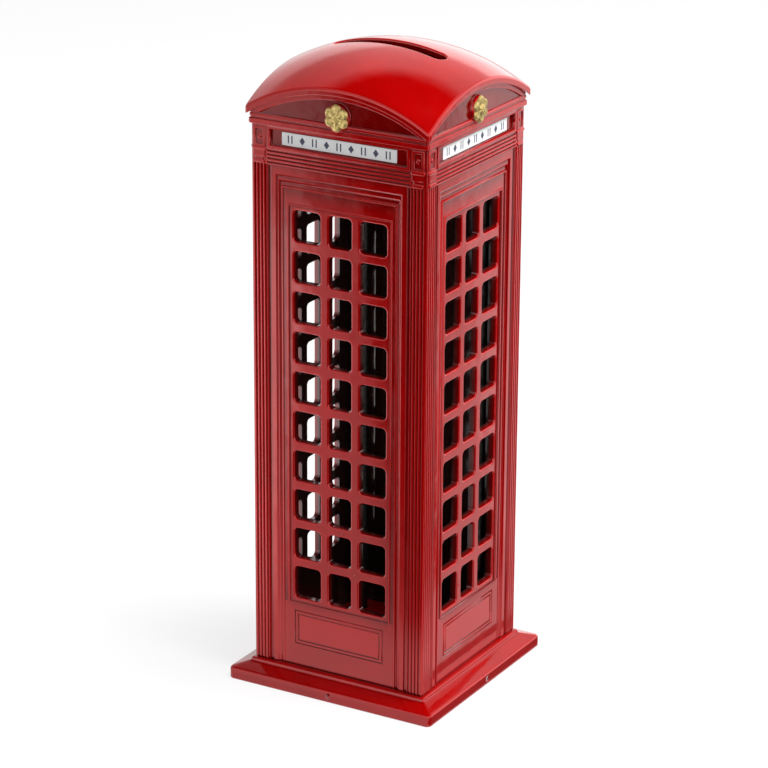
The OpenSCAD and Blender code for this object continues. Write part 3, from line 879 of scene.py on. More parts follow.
def enamel_material(c):
    """Thick glossy enamel: darker in the grooves, partly paint pooling and partly a painted shade, and
    lighter on the crests, partly thinner paint and partly a painted highlight; the inner faces are
    near-black, a painted shade of the unlit inside.
    """
    n = Nodes("enamel_gloss")
    base = tuple(c.enamel)
    relief = n.node("ShaderNodeAttribute", attribute_name="relief").outputs["Fac"]
    clouds = n.spread(n.noise(70, 3), 0.35, 0.65, 0, 1)
    cloudy = n.mix(clouds, [v * 0.9 for v in base], [v * 1.06 for v in base])
    # Darker in the hollows: partly paint pooling there, partly a painted shade of the crevices
    pooled_and_shaded = n.mix(n.spread(relief, -0.05, -0.9, 0, 0.75), cloudy, [v * 0.42 for v in base])
    # Lighter salmon on the crests and rims: partly thinner paint, partly a painted highlight
    thin = (min(base[0] * 1.35, 1), base[1] * 6, base[2] * 5)
    relief_tint = n.mix(n.spread(relief, 0.15, 1.0, 0, 0.55), pooled_and_shaded, thin)
    # Near-black on the inner faces and jambs: a painted shade of the unlit inside
    bare = n.mix(n.spread(relief, -1.0, INSIDE_SHADE, 0, 1), relief_tint, tuple(c.casting))
    nick = n.spot(PLINTH_NICK, 0.0009)
    n.link(n.mix(nick, bare, tuple(c.nick)), n.shader.inputs["Base Color"])
    n.link(n.spread(n.noise(320, 3), 0.3, 0.7, 0.16, 0.26), n.shader.inputs["Roughness"])
    waves = n.bump(n.noise(160, 1.5), 0.12, 0.0004)
    peel = n.bump(n.noise(700, 2), 0.04, 0.0001, waves)
    specks = n.spread(n.noise(1500, 1), 0.76, 0.82, 0, 1)
    peel = n.bump(n.spot(PLINTH_PIMPLE, 0.0010), 1.0, 0.0008, peel)
    peel = n.bump(nick, 0.8, -0.0006, peel)
    n.link(n.bump(specks, 0.1, 0.00006, peel), n.shader.inputs["Normal"])
    n.link(peel, n.shader.inputs["Coat Normal"])
    n.link(n.spread(n.noise(320, 3), 0.3, 0.7, 0.04, 0.09), n.shader.inputs["Coat Roughness"])
    n.set(Metallic=0.3, Specular_IOR_Level=0.0, IOR=1.5, Coat_Weight=1.0, Coat_IOR=1.5)
    return n.material


def gilt_material(c):
    """Brushed-on gold paint over the casting, darker and greenish in the notches between the petals."""
    n = Nodes("gilt_paint")
    relief = n.node("ShaderNodeAttribute", attribute_name="relief").outputs["Fac"]
    base = tuple(c.gilt)
    brushed = n.spread(n.noise(900, 4), 0.3, 0.7, 0, 1)
    streaks = n.mix(brushed, [v * 0.78 for v in base], [v * 1.15 for v in base])
    # Darker in the notches between the petals
    relief_tint = n.mix(n.spread(relief, -0.1, -1, 0, 0.8), streaks, tuple(c.gilt_notch))
    n.link(relief_tint, n.shader.inputs["Base Color"])
    n.link(n.spread(n.noise(1500, 3), 0.3, 0.7, 0.28, 0.46), n.shader.inputs["Roughness"])
    n.link(n.bump(n.noise(1300, 3), 0.3, 0.0002), n.shader.inputs["Normal"])
    n.set(Metallic=0.7)
    return n.material


def card_material(c):
    """Coated white card with a faint fibre."""
    n = Nodes("coated_card")
    base = tuple(c.card)
    fibre = n.spread(n.noise(2500, 4), 0.3, 0.7, 0, 1)
    white = n.mix(fibre, [v * 0.95 for v in base], [min(v * 1.03, 1) for v in base])
    n.link(white, n.shader.inputs["Base Color"])
    n.link(n.spread(n.noise(1200, 2), 0.3, 0.7, 0.3, 0.42), n.shader.inputs["Roughness"])
    n.link(n.bump(n.noise(4000, 3), 0.1, 0.00005), n.shader.inputs["Normal"])
    return n.material


def ink_material(c):
    """Dark blue-black print, a little uneven."""
    n = Nodes("print_ink")
    base = tuple(c.ink)
    uneven = n.mix(n.spread(n.noise(3500, 3), 0.35, 0.7, 0, 1), base, [v * 2.2 + 0.01 for v in base])
    n.link(uneven, n.shader.inputs["Base Color"])
    n.link(n.spread(n.noise(3000, 2), 0.3, 0.7, 0.35, 0.5), n.shader.inputs["Roughness"])
    return n.material


def rubber_material(c):
    """Moulded rubber with a dusty bloom."""
    n = Nodes("moulded_rubber")
    base = tuple(c.rubber)
    dusty = n.mix(n.spread(n.noise(220, 5), 0.42, 0.72, 0, 1), base, [v * 2.4 + 0.01 for v in base])
    n.link(dusty, n.shader.inputs["Base Color"])
    n.link(n.spread(n.noise(500, 3), 0.3, 0.7, 0.55, 0.78), n.shader.inputs["Roughness"])
    n.link(n.bump(n.noise(1400, 3), 0.25, 0.0002), n.shader.inputs["Normal"])
    return n.material


def steel_material(c):
    """Dull zinc-plated steel, its colour darkened as a painted shade of the unlit inside where the screws
    stand.
    """
    n = Nodes("plated_steel")
    base = tuple(c.steel)
    dull = n.mix(n.spread(n.noise(600, 4), 0.35, 0.7, 0, 1), [v * 0.6 for v in base], base)
    n.link(dull, n.shader.inputs["Base Color"])
    n.link(n.spread(n.noise(900, 3), 0.3, 0.7, 0.32, 0.55), n.shader.inputs["Roughness"])
    n.link(n.bump(n.noise(2600, 2), 0.2, 0.0001), n.shader.inputs["Normal"])
    n.set(Metallic=1.0)
    return n.material


def shared(name, make):
    """A material, made the first time that it is asked for."""
    return bpy.data.materials.get(name) or make(bpy.context.scene.money_box_colours)


# ---------------------------------------------------------------- operators


class MONEYBOX_OT_walls(bpy.types.Operator):
    """Build the four cast walls with their reeds, door frames, lattices and pediments"""

    bl_idname = "money_box.walls"
    bl_label = "Walls"

    def execute(self, context):
        sizes = context.scene.money_box_sizes
        enamel = shared("enamel_gloss", enamel_material)
        for name, turn in WALLS.items():
            pattern = WallPattern(sizes, name != "back", BLEMISHES[name])
            obj = pattern.casting().build(f"{name}_wall_casting", [enamel], turn)
            place(obj, "box", "red_enamel", f"{name}_wall")
        return {"FINISHED"}


class RoofPattern:
    """Distances and heights of the domed roof, in millimetres."""

    def __init__(self, sizes):
        wall = WallPattern(sizes, False)
        self.dome_r, self.dome_z = wall.dome_r, wall.dome_z
        self.under_r = self.dome_r - sizes.roof_t / MM
        self.half = mm_box("roof")[1][0]
        self.lip, self.slot_lip = sizes.roof_lip / MM, sizes.slot_lip / MM
        self.slot_half, self.slot_r = (sizes.slot_l - sizes.slot_w) / 2 / MM, sizes.slot_w / 2 / MM

    def from_edge(self, x, y):
        """Distance inside the roof's edge."""
        return -box_distance(x, y, self.half, self.half, ROOF_CORNER)

    def from_slot(self, x, y):
        """Distance outside the coin slot."""
        return np.maximum(np.hypot(np.maximum(np.abs(x) - self.slot_half, 0), y) - self.slot_r, 0)

    def top(self, x, y):
        """Height of the outer face, with its rounded lips."""
        dome = self.dome_z + np.sqrt(self.dome_r ** 2 - x ** 2 - y ** 2)
        at_edge = rounding(self.from_edge(x, y), self.lip)
        return dome - at_edge - rounding(self.from_slot(x, y), self.slot_lip)

    def under(self, x, y):
        """Height of the inner face."""
        dome = self.dome_z + np.sqrt(self.under_r ** 2 - x ** 2 - y ** 2)
        return dome + rounding(self.from_edge(x, y), ROOF_EASE)

    def slot_loop(self, r):
        """The slot's outline, with round ends of radius r."""
        loop = []
        for end, first in ((self.slot_half, -90), (-self.slot_half, 90)):
            for i in range(13):
                a = math.radians(first + 15 * i)
                loop.append((end + r * math.cos(a), r * math.sin(a)))
        return loop

    def drawing(self, edge_ease, slot_ease):
        """The sheet of lines of one face, with its soft edges and a grid of points between them."""
        side, cell, apart = 1.6, 1.4, 0.3
        sheet = Sheet(long_sides(square_loop(self.half, self.half, ROOF_CORNER, 6), side))
        for inset in quarter_steps(edge_ease, 5)[1:]:
            half = self.half - inset
            sheet.line(long_sides(square_loop(half, half, ROOF_CORNER - inset * 0.9, 6), side), True)
        sheet.hole(long_sides(self.slot_loop(self.slot_r), side))
        for inset in quarter_steps(slot_ease, 4)[1:]:
            sheet.line(long_sides(self.slot_loop(self.slot_r + inset), side), True)
        grid = np.arange(-self.half + 1.2, self.half - 1.1, cell)
        x, y = (g.ravel() for g in np.meshgrid(grid, grid))
        clear = (self.from_edge(x, y) > self.lip + apart) & (self.from_slot(x, y) > self.slot_lip + apart)
        sheet.dots(list(zip(x[clear], y[clear])))
        return sheet


class MONEYBOX_OT_roof(bpy.types.Operator):
    """Build the domed roof with its lip, coin slot, locating skirt and screw bosses"""

    bl_idname = "money_box.roof"
    bl_label = "Roof"

    def execute(self, context):
        roof, made = RoofPattern(context.scene.money_box_sizes), Casting()
        tops = self.skin(made, roof, roof.top, (roof.lip, roof.slot_lip), up=True)
        unders = self.skin(made, roof, roof.under, (ROOF_EASE, 0.05), up=False)
        for upper, lower in zip(tops, unders):
            self.edge(made, upper, lower)
        self.skirt(made, roof)
        self.bosses(made, roof)
        obj = made.build("roof_casting", [shared("enamel_gloss", enamel_material)])
        place(obj, "box", "red_enamel", "roof")
        return {"FINISHED"}

    @staticmethod
    def skin(made, roof, height, eases, up):
        """The outer or inner face of the dome; gives its rims, the roof's own edge first."""
        pts, tris = roof.drawing(*eases).triangles()
        x, y = pts[:, 0], pts[:, 1]
        near, relief_tint_w = 0.01, 0.9
        dx = (height(x + near, y) - height(x - near, y)) / (2 * near)
        dy = (height(x, y + near) - height(x, y - near)) / (2 * near)
        normals = np.stack([-dx, -dy, np.ones_like(dx)], axis=1)
        if not up:
            normals, tris = -normals, tris[:, ::-1]
        # Lighter enamel near the roof's edge: partly rubbed paint, partly a painted highlight along the lip
        relief_tint = np.clip(1 - roof.from_edge(x, y) / relief_tint_w, 0, 1) * 0.5
        start = made.sheet(np.stack([x, y, height(x, y)], axis=1), tris, normals, relief_tint)
        return sorted(([start + i for i in loop] for loop in rims(tris)), key=len, reverse=True)

    @staticmethod
    def edge(made, upper, lower):
        """Upright faces between the upper and the lower rim of the roof or of the slot."""
        known = {flat_key(made.points[i]): i for i in lower}
        match = [known[flat_key(made.points[i])] for i in upper]
        n = len(upper)
        for i in range(n):
            j = (i + 1) % n
            a, b = made.points[upper[i]], made.points[upper[j]]
            made.face((upper[j], upper[i], match[i], match[j]), [(b[1] - a[1], a[0] - b[0], 0)] * 4)

    @staticmethod
    def ring(made, roof, loop, z):
        """A level ring of points, or one that runs into the dome where z is None."""
        if z is not None:
            return made.ring([(x, y, z) for x, y in loop])
        return made.ring([(x, y, float(roof.under(np.array(x), np.array(y))) + INTO_DOME) for x, y in loop])

    def skirt(self, made, roof):
        """Locating skirt that drops inside the walls."""
        ease = ROOF_EASE
        profile = (
            (SKIRT_OUT, None, 1.0), (SKIRT_OUT, SKIRT_LOW + ease, 1.0), (SKIRT_OUT - ease, SKIRT_LOW, 0.8),
            (SKIRT_IN + ease, SKIRT_LOW, 0.8), (SKIRT_IN, SKIRT_LOW + ease, 1.0), (SKIRT_IN, None, 1.0),
        )
        rings = [self.ring(made, roof, square_loop(half, half, r, 5), z) for half, z, r in profile]
        for low, high in zip(rings, rings[1:] + rings[:1]):
            made.wall(low, high)

    def bosses(self, made, roof):
        """Round bosses that take the tie screws."""
        low, r = ROOF_BOSS_LOW, ROOF_BOSS_R
        profile = (
            (SCREW_R, low + SCREW_DEPTH), (SCREW_R, low + 0.35), (SCREW_R + ROOF_EASE, low),
            (r - ROOF_EASE, low), (r, low + ROOF_EASE), (r, None), (0.4, None),
        )
        for centre in SCREWS:
            rings = [self.ring(made, roof, circle_loop(radius, 32, centre), z) for radius, z in profile]
            for lower, upper in zip(rings, rings[1:]):
                made.wall(upper, lower)
            made.fill([rings[-1]], (0, 0, 1))
            made.fill([rings[0]], (0, 0, -1))


class MONEYBOX_OT_plinth(bpy.types.Operator):
    """Build the plinth with its bevel, ledge, underside pocket and holes"""

    bl_idname = "money_box.plinth"
    bl_label = "Plinth"

    def execute(self, context):
        half = mm_box("plinth")[1][0]
        ledge, pocket = LEDGE_HALF, half - POCKET_RIM
        made = Casting()
        # half-width, corner radius and height of each ring, from the floor up
        outside = self.rings(made, [
            (half - 0.45, 1.2, 0.0), (half - 0.2, 1.4, 0.08), (half - 0.05, 1.55, 0.24), (half, 1.6, 0.5),
            (half, 1.6, 2.85), (half - 0.08, 1.6, 3.15), (half - 0.3, 1.55, 3.42),
            (half - 0.65, 1.5, SHOULDER_TOP), (ledge + 0.85, 1.1, 4.58), (ledge + 0.45, 1.0, 4.72),
            (ledge + 0.18, 0.95, 4.92),
            (ledge + 0.05, 0.9, 5.15), (ledge - 0.02, 0.85, 5.45), (ledge - 0.14, 0.8, 5.65),
            (ledge - 0.4, 0.75, 5.78), (ledge - 0.7, 0.7, PLINTH_TOP),
        ], outward=True)
        inside = self.rings(made, [
            (pocket + 0.4, 2.0, 0.0), (pocket + 0.15, 1.8, 0.1), (pocket, 1.6, 0.4),
            (pocket, 1.6, POCKET_Z - 0.3), (pocket - 0.2, 1.4, POCKET_Z),
        ], outward=False)
        outlet = [
            (OUTLET_R + OUTLET_EASE, POCKET_Z), (OUTLET_R, POCKET_Z + OUTLET_EASE),
            (OUTLET_R, PLINTH_TOP - OUTLET_EASE), (OUTLET_R + OUTLET_EASE, PLINTH_TOP),
        ]
        screw_hole = [
            (COUNTERBORE_R + HOLE_EASE, POCKET_Z), (COUNTERBORE_R, POCKET_Z + HOLE_EASE),
            (COUNTERBORE_R, COUNTERBORE_Z), (SCREW_HOLE_R, COUNTERBORE_Z),
            (SCREW_HOLE_R, PLINTH_TOP - HOLE_EASE), (SCREW_HOLE_R + HOLE_EASE, PLINTH_TOP),
        ]
        holes = [self.bore(made, outlet, 96, (0, 0))]
        holes += [self.bore(made, screw_hole, 32, centre) for centre in SCREWS]
        made.fill([outside[-1]] + [hole[-1] for hole in holes], (0, 0, 1))
        made.fill([inside[-1]] + [hole[0] for hole in holes], (0, 0, -1))
        made.fill([outside[0], inside[0]], (0, 0, -1))
        obj = made.build("plinth_casting", [shared("enamel_gloss", enamel_material)])
        place(obj, "box", "red_enamel", "plinth")
        return {"FINISHED"}

    @staticmethod
    def slopes(profile):
        """Outward and upward part of the smooth normal at each point of a profile."""
        p = np.array([(point[0], point[-1]) for point in profile], float)
        steps = np.diff(p, axis=0)
        lengths = np.linalg.norm(steps, axis=1)
        sides = np.stack([steps[:, 1], -steps[:, 0]], axis=1) / lengths[:, None]
        normals = []
        for i in range(len(p)):
            near = [(sides[k], lengths[k]) for k in (i - 1, i) if 0 <= k < len(sides)]
            normals.append(sum(side * (size + 0.02) for side, size in near))
        return [n / np.linalg.norm(n) for n in normals]

    @staticmethod
    def relief_value(z):
        """Relief value at a height: lighter along the foot (rubbed paint) and the shoulder (rubbed paint and
        a painted highlight), darker under the ledge (paint pooling and a painted shade).
        """
        if any(low <= z < high for low, high in WORN_AND_LIT_HEIGHTS):
            return WORN_AND_LIT
        return POOLED_AND_SHADED if POOLED_AND_SHADED_HEIGHTS[0] < z < POOLED_AND_SHADED_HEIGHTS[1] else 0.0

    def rings(self, made, profile, outward):
        """Rounded-square rings joined into a skin with smooth normals."""
        corner_steps = 8
        sign = 1 if outward else -1
        ids, normals = [], []
        for (half, r, z), (out, up) in zip(profile, self.slopes(profile)):
            ring = made.ring([(x, y, z) for x, y in square_loop(half, half, r, corner_steps)], self.relief_value(z))
            sides = []
            for corner in range(4):
                for i in range(corner_steps + 1):
                    a = math.radians(90 * (corner + i / corner_steps))
                    sides.append((sign * out * math.cos(a), sign * out * math.sin(a), sign * up))
            ids.append(ring)
            normals.append(sides)
        for a in range(len(ids) - 1):
            b = a + 1
            made.band(ids[a][::sign], ids[b][::sign], normals[a][::sign], normals[b][::sign])
        return ids

    @staticmethod
    def bore(made, profile, around, centre):
        """A round hole with smooth sides; gives its rings from the lowest up."""
        rings = [made.ring([(x, y, z) for x, y in circle_loop(r, around, centre)]) for r, z in profile]
        for a in range(len(rings) - 1):
            run, climb = np.subtract(profile[a + 1], profile[a])
            out, up = np.array([climb, -run]) / math.hypot(run, climb)
            for i in range(around):
                j = (i + 1) % around
                quad = (rings[a][j], rings[a][i], rings[a + 1][i], rings[a + 1][j])
                sides = []
                for v in quad:
                    x, y = made.points[v][0] - centre[0], made.points[v][1] - centre[1]
                    r = math.hypot(x, y)
                    sides.append((-out * x / r, -out * y / r, -up))
                made.face(quad, sides)
        return rings


class MONEYBOX_OT_labels(bpy.types.Operator):
    """Build the four sign labels, printed with a row of plain marks"""

    bl_idname = "money_box.labels"
    bl_label = "Labels"

    def execute(self, context):
        lo, hi = mm_box("front_label")
        width, height = hi[0] - lo[0], hi[2] - lo[2]
        middle = ((hi[0] + lo[0]) / 2, (hi[2] + lo[2]) / 2)
        back, front = hi[1], lo[1]
        made = Casting()
        card = square_loop(width / 2, height / 2, CARD_CORNER, 3, middle)
        self.slab(made, card, back, front + PRINT_T, CARD_EASE, middle)
        made.slot = 1
        for k in range(MARKS):
            at = (middle[0] + (k - MARKS // 2) * MARK_PITCH, middle[1])
            for loop in self.mark(k, at):
                self.slab(made, loop, front + PRINT_T, front, 0.0, at)
        finishes = [shared("coated_card", card_material), shared("print_ink", ink_material)]
        for name, turn in WALLS.items():
            obj = made.build(f"{name}_label_card", finishes, turn)
            place(obj, "box", "label_card", f"{name}_label")
        return {"FINISHED"}

    @staticmethod
    def mark(k, at):
        """Outlines of one mark: two upright bars or a lozenge in turn."""
        u, z = at
        if k % 2:
            half_w, half_h = 0.85, 1.1
            return [[(u - half_w, z), (u, z - half_h), (u + half_w, z), (u, z + half_h)]]
        low, high = z - 1.05, z + 1.05
        bars = [(u + left, u + left + 0.4) for left in (-0.75, 0.35)]
        return [[(a, low), (b, low), (b, high), (a, high)] for a, b in bars]

    @staticmethod
    def slab(made, loop, back, front, bevel, middle):
        """A thin slab facing the front, its front edges eased."""
        layers = [(loop, back), (loop, front + bevel)]
        if bevel:
            away = np.array(loop) - middle
            layers.append((middle + away * (1 - bevel / np.maximum(np.abs(away), 0.5)), front))
        rings = [made.ring([(u, y, z) for u, z in pts]) for pts, y in layers]
        for behind, ahead in zip(rings, rings[1:]):
            made.wall(ahead, behind)
        made.face(rings[-1], [(0, -1, 0)] * len(loop))
        made.face(rings[0][::-1], [(0, 1, 0)] * len(loop))


class RosettePattern:
    """Outline and height of a rosette of domed petals around an eye, in millimetres."""

    EYE_R = 0.34  # these two as shares of the radius
    RING_R = 0.40

    def __init__(self, petals):
        lo, hi = mm_box("front_rosette")
        self.petals = petals
        self.radius, self.thick = (hi[2] - lo[2]) / 2, hi[1] - lo[1]
        self.middle, self.back = (lo[2] + hi[2]) / 2, hi[1]
        self.petal_r = self.radius * 0.42
        self.seat = self.radius - self.petal_r

    def edge(self, a):
        """Reach of the outline at a turn, and how far to a petal's side that lies, from -1 to 1."""
        wave = 2 * math.pi / self.petals
        off = (a - math.pi / 2 + wave / 2) % wave - wave / 2
        reach = self.seat * math.cos(off) + math.sqrt(self.petal_r ** 2 - (self.seat * math.sin(off)) ** 2)
        return reach, off / (wave / 2)

    def height(self, share, side, r):
        """Height over the back at a share of the outline's reach, which lies r from the middle."""
        crown = 0.62 * (1 - 0.28 * abs(side) ** 2.2)
        rim = crown * (1 - max(0.0, (share - 0.72) / 0.28) ** 2.6)
        dish = 0.16 * math.exp(-((share - 0.62) / 0.16) ** 2) * (1 - abs(side) ** 2)
        vein = 0.05 * math.exp(-(abs(side) / 0.12) ** 2) * (0.3 < share < 0.9)
        from_middle = r / self.radius
        eye = 0.45 * math.sqrt(max(0.0, 1 - (from_middle / self.EYE_R) ** 2))
        ring = 0.14 * math.exp(-((from_middle - self.RING_R) / 0.045) ** 2)
        return self.thick * min(rim - dish + vein + eye - ring, 1)


class MONEYBOX_OT_rosettes(bpy.types.Operator):
    """Build the four gilt rosettes with domed petals around an eye"""

    bl_idname = "money_box.rosettes"
    bl_label = "Rosettes"

    def execute(self, context):
        petals = context.scene.money_box_sizes.petals
        pattern, made = RosettePattern(petals), Casting()
        around, steps = 16 * petals, 18
        back, middle = pattern.back, pattern.middle
        shares = [math.sin(math.pi / 2 * k / steps) for k in range(1, steps + 1)]
        rows = [self.row(made, pattern, share, around) for share in shares]
        hub = made.add([(0, back - pattern.height(0, 0, 0), middle)])
        faces = [(hub, rows[0][i], rows[0][(i + 1) % around]) for i in range(around)]
        for a, b in zip(rows, rows[1:]):
            for i in range(around):
                j = (i + 1) % around
                faces.append((a[i], b[i], b[j], a[j]))
        self.smooth_faces(made, faces, hub)
        rim = rows[-1]
        under = made.ring([(made.points[i][0], back, made.points[i][2]) for i in rim])
        made.wall(rim, under)
        centre = made.add([(0, back, middle)])
        for i in range(around):
            made.face((centre, under[(i + 1) % around], under[i]), [(0, 1, 0)] * 3)
        gilt = shared("gilt_paint", gilt_material)
        for name, turn in WALLS.items():
            obj = made.build(f"{name}_rosette_gilt", [gilt], turn)
            place(obj, "box", "gilt", f"{name}_rosette")
        return {"FINISHED"}

    @staticmethod
    def row(made, pattern, share, around):
        """A ring of points at a share of the outline's reach, with relief values that darken the notches
        between the petals.
        """
        pts, relief = [], []
        for i in range(around):
            a = 2 * math.pi * i / around
            edge, side = pattern.edge(a)
            r = share * edge
            up = max(pattern.height(share, side, r), 0.0)
            pts.append((r * math.cos(a), pattern.back - up, pattern.middle + r * math.sin(a)))
            relief.append(-0.9 * abs(side) ** 3 if share > 0.35 else 0.1)
        start = made.add(pts, relief)
        return list(range(start, start + around))

    @staticmethod
    def smooth_faces(made, faces, hub):
        """Faces with normals averaged at each point, turned to face the front."""
        points = np.array(made.points)
        total = np.zeros_like(points)
        for f in faces:
            p = points[list(f)]
            total[list(f)] += np.cross(p[1] - p[0], p[2] - p[0])
        if total[hub][1] > 0:
            total, faces = -total, [f[::-1] for f in faces]
        for f in faces:
            made.face(f, [total[i] for i in f])


class MONEYBOX_OT_fittings(bpy.types.Operator):
    """Finish the rubber stopper, the tie screws and their washers"""

    bl_idname = "money_box.fittings"
    bl_label = "Stopper and screws"

    def execute(self, context):
        rubber = shared("moulded_rubber", rubber_material)
        steel = shared("plated_steel", steel_material)
        # material, width of the eased edges in millimetres, slot
        finishes = {
            "coin_stopper": (rubber, 0.35, "stopper_rubber"),
            "tie_screws": (steel, 0.15, "screw_steel"),
            "screw_washers": (steel, 0.06, "screw_steel"),
        }
        for node, (material, edge, slot) in finishes.items():
            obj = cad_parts[node]
            obj.data.materials.clear()
            obj.data.materials.append(material)
            bevel = obj.modifiers.new("eased_edges", "BEVEL")
            bevel.width = edge * MM
            bevel.segments = 3
            bevel.limit_method = "ANGLE"
            bevel.angle_limit = math.radians(50)
            bevel.harden_normals = True
        return {"FINISHED"}


# ---------------------------------------------------------------- studio

# The surround as the gloss sees it, product of fades: axis, from, to, brightness before and after
SURROUND = (("Z", 0.34, 0.46, 1.9, 0.86), ("Z", 0.72, 0.86, 1.0, 0.0), ("X", -0.8, -0.3, 0.4, 1.0))
SURROUND_LIGHT = 0.25  # what the surround adds to matt faces
SURROUND_SHOWN = 0.8  # what it gains where the camera sees it bare

# The one lamp: place, side and power; it is aimed at a height over the floor's middle
LAMP_AT, LAMP_SIDE, LAMP_POWER = (0.46, 0.10, 1.10), 0.8, 27
LAMP_AIM = (0, 0, 0.09)

# Camera: turn, lift and roll in degrees, distance to its aim, aim's place across and up, lens
CAMERA_TURN, CAMERA_LIFT, CAMERA_ROLL = 30, 19.64, 0.336
CAMERA_AWAY, AIM_ACROSS, AIM_UP = 0.9153, -0.001, 0.08387
CAMERA_LENS, CAMERA_FILM = 155.015625, 36

FLOOR_REACH = 6.0
CARD_Z = 0.0004

# Cards on the floor: name, x and y reach, axis that leads away from the box, reach and brightness of the
# pale foot, then bands across the floor (direction, start, end, brightness before and after)
FLOOR_CARDS = (
    ("front_card", (-1.2, 0.5), (-1.6, -0.036), "Y", (0.055, 0.09), 1.15,
     (((0.866, -0.5), -0.011, -0.003, 2.7, 0.9), ((0.866, -0.55), 0.026, 0.042, 1.0, 0.0),
      ((0, -1), 0.37, 0.43, 1.0, 0.4))),
    ("side_card", (0.038, 1.4), (-0.034, 1.8), "X", (0.062, 0.075), 0.87,
     (((0.866, -0.5), 0.0275, 0.031, 0.85, 0.03), ((0.866, -0.5), 0.0105, 0.0135, 1.55, 1.0))),
    ("side_foot_card", (0.0328, 0.038), (-0.034, 0.1), "X", (0.06, 0.1), 0.12,
     (((0.866, -0.5), 0.0, 0.1, 0.12, 0.12),)),
)


def oblong(name, x, y, z):
    """A level rectangle between two x and two y, as an object of the scene."""
    mesh = bpy.data.meshes.new(name)
    corners = [(x[0], y[0], z), (x[1], y[0], z), (x[1], y[1], z), (x[0], y[1], z)]
    mesh.from_pydata(corners, [], [(0, 1, 2, 3)])
    obj = bpy.data.objects.new(name, mesh)
    bpy.context.scene.collection.objects.link(obj)
    return obj


def sums(tree, operation, a, b):
    """Result of a sum on one or two values of a shader."""
    made = tree.nodes.new("ShaderNodeMath")
    made.operation = operation
    for value, socket in zip((a, b), made.inputs):
        if value is not None:
            tree.links.new(value, socket)
    return made.outputs[0]


def fade(tree, value, low, high, to_low, to_high):
    """One value before low and another past high, with a smooth change between."""
    made = tree.nodes.new("ShaderNodeMapRange")
    made.interpolation_type = "SMOOTHSTEP"
    tree.links.new(value, made.inputs["Value"])
    for key, v in zip(("From Min", "From Max", "To Min", "To Max"), (low, high, to_low, to_high)):
        made.inputs[key].default_value = v
    return made.outputs["Result"]


def product(tree, values):
    """All the values multiplied."""
    total = values[0]
    for value in values[1:]:
        total = sums(tree, "MULTIPLY", total, value)
    return total


